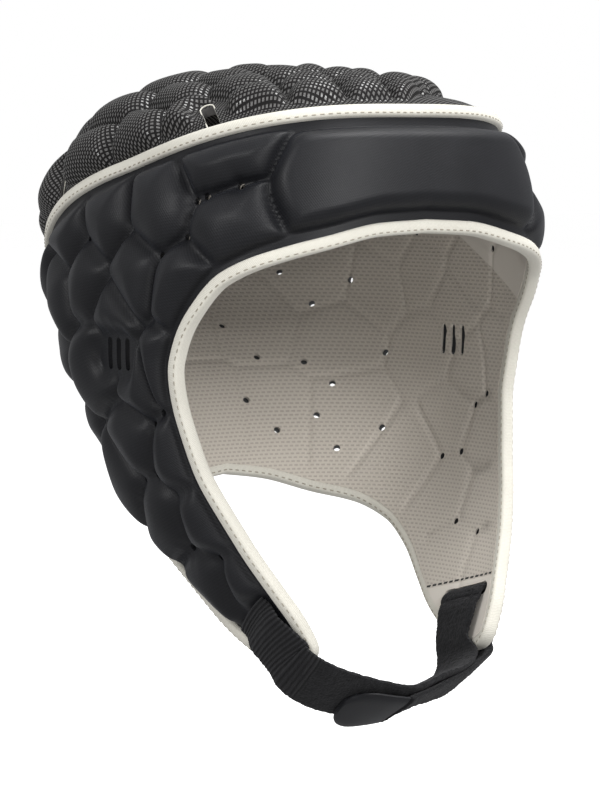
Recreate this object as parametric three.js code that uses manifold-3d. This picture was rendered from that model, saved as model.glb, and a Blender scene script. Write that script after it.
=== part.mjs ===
// Rugby scrum cap: a padded head guard with side flaps and a chin strap.
// Millimetres, +Z up. The face looks along -Y and the wearer's left side is at +X.
// The origin is where the crown of the head touches the lining.
import * as THREE from 'three';
import { mergeVertices } from 'three/addons/utils/BufferGeometryUtils.js';
import Module from 'manifold-3d';

const wasm = await Module();
wasm.setup();

// Head form, measured on the inside of the lining
const HALF_WIDTH = 76.5;
const FRONT_REACH = 90;
const BACK_REACH = 91;
const CAP_DEPTH = 210;

// Layers, from the inside out
const LINING_THICKNESS = 1.0;
const GAP = 0.3;
const SHELL_THICKNESS = 2.0;
const PAD_SEAT = 0.78;
const PAD_HEIGHT = 6.6;
const CROWN_WALL = 3.3;
const CROWN_PAD_HEIGHT = 6.2;

// Bindings that finish the edges
const BINDING_WIDTH = 5.0;
const BINDING_THICKNESS = 5.4;
const BINDING_CLEARANCE = 0.35;
const RIM_RISE = 0.7;

// Pads and the grooves between them
const GROOVE = 3.2;
const EDGE_MARGIN = 5.5;
const CROWN_MARGIN = 6;
const PAD_SIDES = 8;
const CROWN_PAD_SIDES = 6;
const MM_PER_DEGREE = 1.4;
const CELL_REACH = 30;
const FULL_PAD_RADIUS = 9;

// Vents
const VENT_HOLE = 2.8;
const EAR_SLOT_LENGTH = 12;
const EAR_SLOT_WIDTH = 3;
const EAR_SLOT_PITCH = 6;
const EAR_CLEARING = 9;
const NOTCH_WIDTH = 4;
const NOTCH_LENGTH = 12;

// Chin strap
const STRAP_WIDTH = 25;
const STRAP_THICKNESS = 2.4;
const STRAP_GAP = 0.7;
const STRAP_SHARES = [-0.5, -0.25, 0, 0.25, 0.5];
const STRAP_MIDDLE = Math.floor(STRAP_SHARES.length / 2);
const STRAP_TILT = 16;
const LAYER_GAP = 1.2;
const SLOT_LENGTH = 27;
const SLOT_HEIGHT = 5.6;
const CHIN_DROP = 17;
const CHIN_FORWARD = 10;
const CHIN_POWER = 2.4;
const TAB_LENGTH = 24;
const TAB_PAST_CHIN = 26;
const STRAP_ANCHOR = { turn: 77, level: 0.915 };

// Plane of the seam between the shell and the crown
const SEAM_HEIGHT = -30.6;
const SEAM_SLOPE = -0.27;
const SEAM_BACK_RADIUS = 200;

// Facets
const SEAM_STEPS = 36;
const ARC_STEPS = 16;
const LEVELS = 5;
const LINE_BEND = 4;
const NUDGE = 0.5;

// Sections of the head form from the crown down. level and centre are shares of the
// cap's depth and front reach, and the other lengths are shares of their own sizes.
const SECTIONS = [
  { level: 0.000, centre: 0.00, width: 0.740, front: 0.790, back: 0.740, square: 2.7 },
  { level: 0.024, centre: 0.00, width: 0.800, front: 0.830, back: 0.790, square: 2.7 },
  { level: 0.057, centre: 0.00, width: 0.850, front: 0.865, back: 0.840, square: 2.8 },
  { level: 0.100, centre: 0.00, width: 0.885, front: 0.900, back: 0.890, square: 2.9 },
  { level: 0.150, centre: 0.00, width: 0.910, front: 0.930, back: 0.935, square: 3.0 },
  { level: 0.215, centre: 0.00, width: 0.950, front: 0.960, back: 0.980, square: 3.1 },
  { level: 0.290, centre: 0.00, width: 0.985, front: 0.985, back: 0.990, square: 3.4 },
  { level: 0.380, centre: 0.00, width: 1.000, front: 1.000, back: 0.920, square: 3.6 },
  { level: 0.470, centre: -0.04, width: 1.000, front: 0.970, back: 0.790, square: 3.4 },
  { level: 0.560, centre: -0.13, width: 0.960, front: 0.880, back: 0.720, square: 3.2 },
  { level: 0.665, centre: -0.24, width: 0.900, front: 0.780, back: 0.700, square: 3.0 },
  { level: 0.780, centre: -0.36, width: 0.790, front: 0.720, back: 0.720, square: 2.8 },
  { level: 0.900, centre: -0.47, width: 0.635, front: 0.620, back: 0.720, square: 2.8 },
  { level: 1.000, centre: -0.53, width: 0.530, front: 0.500, back: 0.640, square: 2.8 },
  { level: 1.080, centre: -0.56, width: 0.480, front: 0.440, back: 0.580, square: 2.8 },
];
const SQUARE_BACK = 2.3;

// Lower edge of one side, from the middle of the brow round the flap to the nape.
// turn is in degrees from the front, and level is a share of the cap's depth. seam is the
// turn at which the line of cloth that ends here starts from the seam.
const EDGE = [
  { turn: 0, level: 0.242, seam: 0 },
  { turn: 15, level: 0.247, seam: 15 },
  { turn: 30, level: 0.270, seam: 29 },
  { turn: 42, level: 0.295, seam: 41 },
  { turn: 51.5, level: 0.330, seam: 49 },
  { turn: 57.5, level: 0.380, seam: 54 },
  { turn: 62.5, level: 0.437, seam: 60 },
  { turn: 66, level: 0.500, seam: 65 },
  { turn: 68, level: 0.575, seam: 70 },
  { turn: 68, level: 0.655, seam: 74.5 },
  { turn: 66.5, level: 0.735, seam: 78.5 },
  { turn: 64.5, level: 0.805, seam: 82 },
  { turn: 61.5, level: 0.870, seam: 85 },
  { turn: 57.5, level: 0.926, seam: 88 },
  { turn: 55.5, level: 0.965, seam: 90.5 },
  { turn: 59, level: 0.985, seam: 93 },
  { turn: 67, level: 0.996, seam: 95.5 },
  { turn: 79, level: 0.989, seam: 98 },
  { turn: 90, level: 0.970, seam: 101 },
  { turn: 98.5, level: 0.940, seam: 104 },
  { turn: 105, level: 0.898, seam: 108 },
  { turn: 112.5, level: 0.843, seam: 113 },
  { turn: 122, level: 0.794, seam: 120 },
  { turn: 134, level: 0.762, seam: 130 },
  { turn: 148, level: 0.745, seam: 145 },
  { turn: 165, level: 0.718, seam: 164 },
  { turn: 180, level: 0.706, seam: 180 },
];

// Middles of the foam pads on one side, in degrees from the front and shares of the depth
const SIDE_PADS = [
  { turn: 54, level: 0.128 },
  { turn: 70, level: 0.212 },
  { turn: 91, level: 0.238 },
  { turn: 108, level: 0.268 },
  { turn: 50, level: 0.232 },
  { turn: 61.5, level: 0.352 },
  { turn: 77.5, level: 0.334 },
  { turn: 98, level: 0.335 },
  { turn: 115, level: 0.365 },
  { turn: 85, level: 0.405 },
  { turn: 69.5, level: 0.490 },
  { turn: 80, level: 0.515 },
  { turn: 98, level: 0.485 },
  { turn: 92, level: 0.612 },
  { turn: 75.5, level: 0.635 },
  { turn: 96, level: 0.745 },
  { turn: 76, level: 0.745 },
  { turn: 114, level: 0.690 },
  { turn: 90, level: 0.860 },
  { turn: 72, level: 0.855 },
  { turn: 131, level: 0.345 },
  { turn: 133, level: 0.475 },
  { turn: 156, level: 0.448 },
  { turn: 136, level: 0.615 },
  { turn: 158, level: 0.605 },
];
const BACK_PADS = [
  { turn: 180, level: 0.440 },
  { turn: 180, level: 0.590 },
];

// Round vents where the grooves meet, on one side
const VENTS = [
  { turn: 143, level: 0.350 },
  { turn: 123, level: 0.364 },
  { turn: 145, level: 0.520 },
  { turn: 166, level: 0.450 },
  { turn: 118, level: 0.500 },
  { turn: 140, level: 0.680 },
  { turn: 124, level: 0.640 },
  { turn: 104, level: 0.690 },
  { turn: 84, level: 0.690 },
  { turn: 71, level: 0.570 },
];
const EAR_VENT = { turn: 87, level: 0.468 };

// Domed pads of the crown: rings of pads round its middle, by share of the way to the rim
const CROWN_RINGS = [
  { share: 0.86, count: 19, first: 9.5 },
  { share: 0.61, count: 13, first: 0 },
  { share: 0.37, count: 8, first: 12 },
  { share: 0.13, count: 3, first: 30 },
];
const CROWN_VENT_TURNS = [56.8, 113.7, 246.3, 303.2];

// Forehead bar: half its turn at its top, widest and lower line, with shares of its height
const BAR_ENDS = [
  { height: 0, turn: 37 },
  { height: 0.45, turn: 42 },
  { height: 1, turn: 38 },
];
const BAR_MARGIN = 7;
const BAR_COLUMNS = 20;

const COLOURS = {
  stretch: { color: 0x17181b, roughness: 0.55, metalness: 0 },
  lining: { color: 0x8f8981, roughness: 0.9, metalness: 0 },
  mesh: { color: 0x3d3c40, roughness: 0.6, metalness: 0 },
  binding: { color: 0xd9d6c9, roughness: 0.8, metalness: 0 },
  strap: { color: 0x141416, roughness: 0.95, metalness: 0 },
};

const rad = THREE.MathUtils.degToRad;

// Monotone cubic through the rows of a table, so that no section overshoots
function interpolate(rows, key, column, at) {
  const last = rows.length - 1;
  const x = Math.min(Math.max(at, rows[0][key]), rows[last][key]);
  let i = 0;
  while (i < last - 1 && x > rows[i + 1][key]) i += 1;
  const slope = (k) => {
    if (k < 0 || k >= last) return null;
    return (rows[k + 1][column] - rows[k][column]) / (rows[k + 1][key] - rows[k][key]);
  };
  const tangent = (k) => {
    const before = slope(k - 1);
    const after = slope(k);
    if (before === null) return after;
    if (after === null) return before;
    return before * after <= 0 ? 0 : (2 * before * after) / (before + after);
  };
  const width = rows[i + 1][key] - rows[i][key];
  const t = (x - rows[i][key]) / width;
  const a = rows[i][column];
  const b = rows[i + 1][column];
  const ta = tangent(i) * width;
  const tb = tangent(i + 1) * width;
  const t2 = t * t;
  const t3 = t2 * t;
  return (2 * t3 - 3 * t2 + 1) * a + (t3 - 2 * t2 + t) * ta
    + (3 * t2 - 2 * t3) * b + (t3 - t2) * tb;
}

// Point of the head form at a turn in degrees from the front and a height
function headPoint(turn, z) {
  const level = -z / CAP_DEPTH;
  const read = (column) => interpolate(SECTIONS, 'level', column, level);
  const side = Math.sin(rad(turn));
  const ahead = Math.cos(rad(turn));
  const power = ahead > 0 ? read('square') : SQUARE_BACK;
  const reach = ahead > 0 ? read('front') * FRONT_REACH : read('back') * BACK_REACH;
  const round = (Math.abs(side) ** power + Math.abs(ahead) ** power) ** (-1 / power);
  return new THREE.Vector3(
    read('width') * HALF_WIDTH * side * round,
    read('centre') * FRONT_REACH - reach * ahead * round,
    z,
  );
}

// Outward normal of a surface given by two parameters, by small steps of both
function normalOf(surface, u, v, du, dv) {
  const along = surface(u + du, v).sub(surface(u - du, v));
  const down = surface(u, v + dv).sub(surface(u, v - dv));
  return down.cross(along).normalize();
}

const outwardAt = ({ turn, z }) => normalOf(headPoint, turn, z, NUDGE, -NUDGE);

function wallPoint(turn, z, offset) {
  return headPoint(turn, z).addScaledVector(outwardAt({ turn, z }), offset);
}

const seamSag = (y) => (Math.max(y, 0) ** 2) / (2 * SEAM_BACK_RADIUS);
const seamAt = (y) => SEAM_HEIGHT + SEAM_SLOPE * y - seamSag(y);

// Point of the head form on the seam with the crown
function seamPoint(turn) {
  let z = SEAM_HEIGHT;
  for (let i = 0; i < 8; i += 1) z = seamAt(headPoint(turn, z).y);
  return headPoint(turn, z);
}

// Point of the crown's inside, from its middle (out = 0) to the seam (out = 1)
function crownPoint(turn, out) {
  const rim = seamPoint(turn);
  const share = Math.min(Math.max(out, 0), 1);
  const x = rim.x * share;
  const y = rim.y * share;
  return new THREE.Vector3(x, y, seamAt(y) * (1 - Math.sqrt(1 - share * share)));
}

function crownWallPoint(turn, out, offset) {
  if (out < 0.01) return new THREE.Vector3(0, 0, offset);
  const step = Math.min(0.01, (1 - out) / 2 + 0.001);
  const inner = Math.min(out, 1 - step);
  const normal = normalOf(crownPoint, turn, inner, NUDGE, step);
  return crownPoint(turn, out).addScaledVector(normal, offset);
}

// Mesh builders
function geometryOf(points, faces) {
  const geometry = new THREE.BufferGeometry().setFromPoints(points);
  geometry.setIndex(faces.flat());
  return geometry;
}

// Closed skin over a grid of points that is closed both along its rows and columns.
// From the row named back on, faces are split the other way, so that two walls with the same
// grid keep the same facets where they face each other. The second half of each row mirrors
// the first.
function ringSolid(rows, back = rows.length) {
  const count = rows[0].length;
  const faces = [];
  rows.forEach((row, i) => {
    const next = (i + 1) % rows.length;
    for (let j = 0; j < count; j += 1) {
      const k = (j + 1) % count;
      const a = i * count + j;
      const b = i * count + k;
      const c = next * count + k;
      const d = next * count + j;
      if ((i < back) !== (j < count / 2)) faces.push([a, b, c], [a, c, d]);
      else faces.push([a, b, d], [b, c, d]);
    }
  });
  return geometryOf(rows.flat(), faces);
}

// Solid from rings of points, closed at both ends by a fan round a middle point
function stackSolid(rings, bottom, top) {
  const count = rings[0].length;
  const faces = [];
  for (let i = 0; i + 1 < rings.length; i += 1) {
    for (let j = 0; j < count; j += 1) {
      const k = (j + 1) % count;
      const a = i * count + j;
      const b = i * count + k;
      const c = (i + 1) * count + k;
      const d = (i + 1) * count + j;
      faces.push([a, b, c], [a, c, d]);
    }
  }
  const low = rings.length * count;
  const high = low + 1;
  const last = (rings.length - 1) * count;
  for (let j = 0; j < count; j += 1) {
    const k = (j + 1) % count;
    faces.push([low, k, j], [high, last + j, last + k]);
  }
  return geometryOf([...rings.flat(), bottom, top], faces);
}

// Solid between two grids of points that lie over each other
function slabSolid(inner, outer) {
  const rows = inner.length;
  const count = inner[0].length;
  const points = [...inner.flat(), ...outer.flat()];
  const shift = rows * count;
  const faces = [];
  const quad = (a, b, c, d) => faces.push([a, b, c], [a, c, d]);
  for (let i = 0; i + 1 < rows; i += 1) {
    for (let j = 0; j + 1 < count; j += 1) {
      const a = i * count + j;
      quad(a, a + 1, a + count + 1, a + count);
      quad(shift + a, shift + a + count, shift + a + count + 1, shift + a + 1);
    }
    const left = i * count;
    const right = left + count - 1;
    quad(left, left + count, shift + left + count, shift + left);
    quad(right, shift + right, shift + right + count, right + count);
  }
  for (let j = 0; j + 1 < count; j += 1) {
    const end = (rows - 1) * count + j;
    quad(j, shift + j, shift + j + 1, j + 1);
    quad(end, end + 1, shift + end + 1, shift + end);
  }
  return geometryOf(points, faces);
}

// Solids for joins and cuts
function toSolid(geometry) {
  const bare = geometry.clone();
  bare.deleteAttribute('normal');
  bare.deleteAttribute('uv');
  const merged = mergeVertices(bare, 1e-5);
  const solid = new wasm.Manifold(new wasm.Mesh({
    numProp: 3,
    vertProperties: new Float32Array(merged.attributes.position.array),
    triVerts: new Uint32Array(merged.index.array),
  }));
  if (solid.volume() >= 0) return solid;
  const turned = Uint32Array.from(merged.index.array);
  for (let i = 0; i < turned.length; i += 3) {
    [turned[i], turned[i + 1]] = [turned[i + 1], turned[i]];
  }
  return new wasm.Manifold(new wasm.Mesh({
    numProp: 3,
    vertProperties: new Float32Array(merged.attributes.position.array),
    triVerts: turned,
  }));
}

function toGeometry(solid) {
  const mesh = solid.getMesh();
  const geometry = new THREE.BufferGeometry();
  const positions = [];
  for (let i = 0; i < mesh.vertProperties.length; i += mesh.numProp) {
    positions.push(...mesh.vertProperties.slice(i, i + 3));
  }
  geometry.setAttribute('position', new THREE.Float32BufferAttribute(positions, 3));
  geometry.setIndex([...mesh.triVerts]);
  geometry.computeVertexNormals();
  return geometry;
}

// Only the largest body of a cut solid is kept, so that no crumb is left by a cut
function mainBody(solid) {
  const bodies = solid.decompose();
  return bodies.reduce((a, b) => (b.volume() > a.volume() ? b : a));
}

const outward = (geometry) => toGeometry(toSolid(geometry));

// Lower edge, all the way round
function edgeLoop() {
  const one = EDGE.map(({ turn, level, seam }) => ({ turn, z: -level * CAP_DEPTH, seam }));
  const other = one.slice(1, -1).reverse();
  return [...one, ...other.map(({ turn, z, seam }) => ({ turn: 360 - turn, z, seam: 360 - seam }))];
}

const LOOP = edgeLoop();

// Moves a point of the unrolled head form by a distance on the surface
function slide(spot, move) {
  const across = headPoint(spot.turn + NUDGE, spot.z).sub(headPoint(spot.turn - NUDGE, spot.z));
  const down = headPoint(spot.turn, spot.z - NUDGE).sub(headPoint(spot.turn, spot.z + NUDGE));
  const aa = across.dot(across);
  const dd = down.dot(down);
  const ad = across.dot(down);
  const ma = move.dot(across);
  const md = move.dot(down);
  const det = aa * dd - ad * ad;
  const turns = (ma * dd - md * ad) / det;
  const drops = (md * aa - ma * ad) / det;
  return { turn: spot.turn + 2 * NUDGE * turns, z: spot.z - 2 * NUDGE * drops };
}

// Loop of spots moved over the surface to its upper side by a distance
function insetLoop(spots, distance) {
  const points = spots.map(({ turn, z }) => headPoint(turn, z));
  return spots.map((spot, i) => {
    const before = points[(i + spots.length - 1) % spots.length];
    const after = points[(i + 1) % spots.length];
    const along = after.clone().sub(before).normalize();
    const up = outwardAt(spot).cross(along).normalize();
    return slide(spot, up.multiplyScalar(distance));
  });
}

// Binding: a strip of cloth folded over an edge, with one section for each point of a loop
function bindingSolid(spots) {
  const half = BINDING_WIDTH / 2;
  const thick = BINDING_THICKNESS / 2;
  const section = [[1, 0], [0.6, 1], [-0.6, 1], [-1, 0], [-0.6, -1], [0.6, -1]];
  const rows = spots.map(({ point, out }, i) => {
    const before = spots[(i + spots.length - 1) % spots.length].point;
    const after = spots[(i + 1) % spots.length].point;
    const side = after.clone().sub(before).cross(out).normalize();
    return section.map(([a, b]) => point.clone()
      .addScaledVector(side, a * half)
      .addScaledVector(out, b * thick));
  });
  return ringSolid(rows);
}

const BINDING_OFFSET = BINDING_THICKNESS / 2 + 0.1;
const EDGE_INSET = BINDING_WIDTH / 2 + BINDING_CLEARANCE;

const onWall = (spot) => ({
  point: wallPoint(spot.turn, spot.z, BINDING_OFFSET),
  out: outwardAt(spot),
});

const edgeBinding = () => bindingSolid(LOOP.map(onWall));

const seamSpot = (turn) => ({ turn, z: seamPoint(turn).z });

// Turns at equal steps all the way round
const ROUND = Array.from({ length: SEAM_STEPS }, (_, i) => (i * 360) / SEAM_STEPS);

const crownBinding = () => bindingSolid(ROUND.map((turn) => onWall(seamSpot(turn))));

// Wall of cloth between the seam and the lower edge, from one offset to another
function clothWall(inner, outer) {
  const edge = insetLoop(LOOP, EDGE_INSET);
  const seam = insetLoop(LOOP.map((spot) => seamSpot(spot.seam)), -EDGE_INSET);
  const rows = [];
  const add = (share, offset) => rows.push(edge.map((end, i) => {
    const start = seam[i];
    const turn = start.turn + (end.turn - start.turn) * share ** LINE_BEND;
    return wallPoint(turn, start.z + (end.z - start.z) * share, offset);
  }));
  for (let i = 0; i <= LEVELS; i += 1) add(i / LEVELS, outer);
  for (let i = LEVELS; i >= 0; i -= 1) add(i / LEVELS, inner);
  return ringSolid(rows, LEVELS + 1);
}

// Vents, cut through the shell and the lining
function drill(turn, z, radius, sides) {
  const out = outwardAt({ turn, z });
  const pin = new THREE.CylinderGeometry(radius, radius, 2 * PAD_HEIGHT, sides);
  pin.rotateX(Math.PI / 2);
  const place = new THREE.Matrix4().lookAt(out, new THREE.Vector3(), new THREE.Vector3(0, 0, 1));
  pin.applyMatrix4(place.setPosition(headPoint(turn, z)));
  return toSolid(pin);
}

function slot(turn, z, width, length, shift) {
  const out = outwardAt({ turn, z });
  const block = new THREE.BoxGeometry(width, length, 2 * PAD_HEIGHT);
  block.translate(shift, 0, 0);
  const place = new THREE.Matrix4().lookAt(out, new THREE.Vector3(), new THREE.Vector3(0, 0, 1));
  block.applyMatrix4(place.setPosition(headPoint(turn, z)));
  return toSolid(block);
}

const bothSides = (turn) => [turn, 360 - turn];

function ventCutters() {
  const cutters = [];
  VENTS.forEach(({ turn, level }) => bothSides(turn).forEach((side) => {
    cutters.push(drill(side, -level * CAP_DEPTH, VENT_HOLE / 2, 6));
  }));
  bothSides(EAR_VENT.turn).forEach((side) => {
    [-1, 0, 1].forEach((place) => {
      const z = -EAR_VENT.level * CAP_DEPTH;
      cutters.push(slot(side, z, EAR_SLOT_WIDTH, EAR_SLOT_LENGTH, place * EAR_SLOT_PITCH));
    });
  });
  return cutters;
}

// Rounded cell of one pad: the space nearer to it than to its neighbours
function cellOf(seed, neighbours, limits, reach) {
  let cell = [[-1, -1], [1, -1], [1, 1], [-1, 1]]
    .map(([a, b]) => new THREE.Vector2(seed.x + a * reach, seed.y + b * reach));
  const clip = (point, towards, margin) => {
    const kept = [];
    const depth = (p) => p.clone().sub(point).dot(towards) - margin;
    cell.forEach((p, i) => {
      const q = cell[(i + 1) % cell.length];
      const dp = depth(p);
      const dq = depth(q);
      if (dp >= 0) kept.push(p);
      if (dp * dq < 0) kept.push(p.clone().lerp(q, dp / (dp - dq)));
    });
    cell = kept;
  };
  neighbours.forEach((other) => {
    const apart = seed.clone().sub(other);
    if (apart.length() < 0.01 || apart.length() > 2.5 * reach) return;
    clip(other.clone().lerp(seed, 0.5), apart.normalize(), GROOVE / 2);
  });
  limits.forEach(({ point, margin }) => {
    const apart = seed.clone().sub(point);
    if (apart.length() > 1.5 * reach) return;
    clip(point, apart.normalize(), margin);
  });
  return cell;
}

// Loop with its corners cut, with a fixed number of points at equal steps
function roundedLoop(cell, count) {
  const cut = [];
  cell.forEach((p, i) => {
    const q = cell[(i + 1) % cell.length];
    cut.push(p.clone().lerp(q, 0.3), p.clone().lerp(q, 0.7));
  });
  const closed = [...cut, cut[0]];
  const lengths = [0];
  for (let i = 1; i < closed.length; i += 1) {
    lengths.push(lengths[i - 1] + closed[i].distanceTo(closed[i - 1]));
  }
  const total = lengths[lengths.length - 1];
  const loop = [];
  let i = 0;
  for (let n = 0; n < count; n += 1) {
    const at = (n * total) / count;
    while (lengths[i + 1] < at) i += 1;
    loop.push(closed[i].clone().lerp(closed[i + 1], (at - lengths[i]) / (lengths[i + 1] - lengths[i])));
  }
  return loop;
}

// Domed pad over a cell. place gives the point of the surface at a flat point and an offset.
function padSolid(cell, count, place, seat, height) {
  const loop = roundedLoop(cell, count);
  const middle = new THREE.Vector2();
  loop.forEach((p) => middle.addScaledVector(p, 1 / count));
  const radius = loop.reduce((least, p) => Math.min(least, p.distanceTo(middle)), Infinity);
  const rise = height * Math.min(1, radius / FULL_PAD_RADIUS);
  const ring = (scale, offset) => loop.map((p) => place(middle.clone().lerp(p, scale), offset));
  const rings = [ring(1, seat), ring(0.97, seat + 0.6 * rise), ring(0.6, seat + 0.95 * rise)];
  return stackSolid(rings, place(middle, seat), place(middle, seat + rise));
}

const flatSpot = ({ turn, level }) => new THREE.Vector2(turn * MM_PER_DEGREE, -level * CAP_DEPTH);

// Side pads with their names
function sidePads() {
  const seat = LINING_THICKNESS + GAP + SHELL_THICKNESS + PAD_SEAT;
  const place = (p, offset) => wallPoint(p.x / MM_PER_DEGREE, p.y, offset);
  const mirrored = ({ turn, level }) => ({ turn: 360 - turn, level });
  const all = [...SIDE_PADS, ...BACK_PADS, ...SIDE_PADS.map(mirrored)].map(flatSpot);
  const limits = [];
  LOOP.forEach(({ turn, z }) => {
    limits.push({ point: new THREE.Vector2(turn * MM_PER_DEGREE, z), margin: EDGE_MARGIN });
  });
  for (let turn = 0; turn <= 360; turn += 4) {
    const point = new THREE.Vector2(turn * MM_PER_DEGREE, seamPoint(turn).z);
    limits.push({ point, margin: EDGE_MARGIN });
  }
  limits.push({ point: flatSpot(EAR_VENT), margin: EAR_CLEARING });
  STRAP_SHARES.forEach((share) => {
    const { turn, z } = flapSpot(-SLOT_HEIGHT / 2, share * STRAP_WIDTH);
    limits.push({ point: new THREE.Vector2(turn * MM_PER_DEGREE, z), margin: GROOVE });
  });
  for (let i = 0; i <= 8; i += 1) {
    const { turn, z } = barSpot(1, i / 8);
    limits.push({ point: new THREE.Vector2(turn * MM_PER_DEGREE, z), margin: GROOVE });
  }
  const pads = [];
  const make = (seed) => {
    const cell = cellOf(flatSpot(seed), all, limits, CELL_REACH);
    return padSolid(cell, PAD_SIDES, place, seat, PAD_HEIGHT);
  };
  const mirror = new THREE.Matrix4().makeScale(-1, 1, 1);
  SIDE_PADS.forEach((seed, i) => {
    const number = String(i + 1).padStart(2, '0');
    const pad = make(seed);
    pads.push({ name: `side_pad_left_${number}`, geometry: pad });
    pads.push({ name: `side_pad_right_${number}`, geometry: pad.clone().applyMatrix4(mirror) });
  });
  BACK_PADS.forEach((seed, i) => pads.push({ name: `back_pad_${i + 1}`, geometry: make(seed) }));
  return pads;
}

// Spot on the forehead bar: side runs from -1 to 1, and height from the top down
function barSpot(side, height) {
  const half = interpolate(BAR_ENDS, 'height', 'turn', height);
  const turn = side * half;
  const top = seamPoint(turn).z - BAR_MARGIN;
  const brow = interpolate(EDGE, 'turn', 'level', Math.abs(turn)) * -CAP_DEPTH + BAR_MARGIN;
  return { turn, z: top + (brow - top) * height };
}

function foreheadPad() {
  const seat = LINING_THICKNESS + GAP + SHELL_THICKNESS + PAD_SEAT;
  const heights = [0, 0.14, 0.5, 0.8, 1];
  const rise = [0.45, 0.95, 1, 0.92, 0.4];
  const sheet = (offset) => heights.map((height, row) => {
    const columns = [];
    for (let i = 0; i <= BAR_COLUMNS; i += 1) {
      const side = (2 * i) / BAR_COLUMNS - 1;
      const end = i === 0 || i === BAR_COLUMNS ? 0.45 : 1;
      const { turn, z } = barSpot(side, height);
      columns.push(wallPoint(turn, z, seat + offset * Math.min(end, rise[row])));
    }
    return columns;
  });
  return slabSolid(sheet(0), sheet(PAD_HEIGHT));
}

// Length along the crown from its middle out to a share of the way to the seam
function crownArc(turn, out) {
  const end = Math.asin(out);
  let length = 0;
  let last = crownPoint(turn, 0);
  for (let i = 1; i <= ARC_STEPS; i += 1) {
    const next = crownPoint(turn, Math.sin((end * i) / ARC_STEPS));
    length += next.distanceTo(last);
    last = next;
  }
  return length;
}

// Crown laid flat: a turn and a share of the way out as lengths from its middle
function crownFlat(turn, out) {
  const away = crownArc(turn, out);
  return new THREE.Vector2(away * Math.sin(rad(turn)), -away * Math.cos(rad(turn)));
}

function crownSpot(p, offset) {
  const turn = THREE.MathUtils.radToDeg(Math.atan2(p.x, -p.y));
  let low = 0;
  let high = 1;
  for (let i = 0; i < ARC_STEPS; i += 1) {
    const middle = (low + high) / 2;
    if (crownArc(turn, middle) < p.length()) low = middle;
    else high = middle;
  }
  return crownWallPoint(turn, low, offset);
}

// Ring on which the crown's wall meets its binding, at an offset of the wall below it
function crownRim(offset) {
  const spots = insetLoop(ROUND.map(seamSpot), EDGE_INSET + RIM_RISE);
  return spots.map(({ turn, z }) => wallPoint(turn, z, offset));
}

function crownWall() {
  const shares = [0.2, 0.45, 0.68, 0.83];
  const ring = (share, offset) => ROUND.map((turn) => (
    crownWallPoint(turn, Math.sin((share * Math.PI) / 2), offset)));
  const rings = [
    ...shares.map((share) => ring(share, 0)),
    crownRim(BINDING_OFFSET - CROWN_WALL / 2),
    crownRim(BINDING_OFFSET + CROWN_WALL / 2),
    ...shares.slice().reverse().map((share) => ring(share, CROWN_WALL)),
  ];
  return stackSolid(rings, crownWallPoint(0, 0, 0), crownWallPoint(0, 0, CROWN_WALL));
}

function crownPads() {
  const seeds = [];
  CROWN_RINGS.forEach(({ share, count, first }) => {
    for (let i = 0; i < count; i += 1) {
      seeds.push(crownFlat(first + (i * 360) / count, 1).multiplyScalar(share));
    }
  });
  const limits = [];
  for (let turn = 0; turn < 360; turn += 10) {
    limits.push({ point: crownFlat(turn, 1), margin: CROWN_MARGIN });
  }
  CROWN_VENT_TURNS.forEach((turn) => {
    const end = crownFlat(turn, 1);
    [0, 0.5, 1].forEach((share) => {
      const point = end.clone().setLength(end.length() - EDGE_INSET - share * NOTCH_LENGTH);
      limits.push({ point, margin: NOTCH_WIDTH / 2 + 1.5 });
    });
  });
  return seeds.map((seed) => {
    const cell = cellOf(seed, seeds, limits, CELL_REACH);
    return padSolid(cell, CROWN_PAD_SIDES, crownSpot, CROWN_WALL - 0.8, CROWN_PAD_HEIGHT + 0.8);
  });
}

// Vent notch in the crown, open down to the binding
function notchCutter(turn) {
  const end = crownFlat(turn, 1);
  const rim = crownSpot(end, 0);
  const top = crownSpot(end.clone().setLength(end.length() - NOTCH_LENGTH), 0);
  const up = top.clone().sub(rim).normalize();
  const side = crownWallPoint(turn + 1, 0.95, 0).sub(crownWallPoint(turn - 1, 0.95, 0)).normalize();
  const upright = up.clone().addScaledVector(side, -up.dot(side)).normalize();
  const length = top.distanceTo(rim) + EDGE_INSET;
  const block = new THREE.BoxGeometry(NOTCH_WIDTH, length, 6 * CROWN_PAD_HEIGHT);
  block.translate(0, length / 2 - EDGE_INSET, 0);
  const place = new THREE.Matrix4().makeBasis(side, upright, side.clone().cross(upright));
  block.applyMatrix4(place.setPosition(rim));
  return toSolid(block);
}

function crown() {
  let solid = toSolid(crownWall());
  crownPads().forEach((pad) => { solid = solid.add(toSolid(pad)); });
  CROWN_VENT_TURNS.forEach((turn) => { solid = solid.subtract(notchCutter(turn)); });
  return toGeometry(mainBody(solid));
}

// Chin strap. across runs along its width and down along its length beside the flap.
const across = new THREE.Vector3(0, -Math.cos(rad(STRAP_TILT)), Math.sin(rad(STRAP_TILT)));
const down = new THREE.Vector3(0, -Math.sin(rad(STRAP_TILT)), -Math.cos(rad(STRAP_TILT)));
const anchor = { turn: STRAP_ANCHOR.turn, z: -STRAP_ANCHOR.level * CAP_DEPTH };
const WALL = LINING_THICKNESS + GAP + SHELL_THICKNESS;
const INSIDE = -STRAP_GAP - STRAP_THICKNESS / 2;
const UNDER_BINDING = INSIDE - 1;
const OUTSIDE = WALL + STRAP_GAP + STRAP_THICKNESS / 2;
const OVER_BINDING = BINDING_OFFSET + (BINDING_THICKNESS + STRAP_THICKNESS) / 2 + STRAP_GAP;
const FLAP_END = 22;

// Spot on the left flap, by distances along the strap's length and width from its anchor
function flapSpot(length, width) {
  const move = down.clone().multiplyScalar(length).addScaledVector(across, width);
  return slide(anchor, move);
}

// Points across the strap where it lies along the left flap
function flapRow(length, offset, width = STRAP_WIDTH) {
  return STRAP_SHARES.map((share) => {
    const { turn, z } = flapSpot(length, share * width);
    return wallPoint(turn, z, offset);
  });
}

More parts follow.
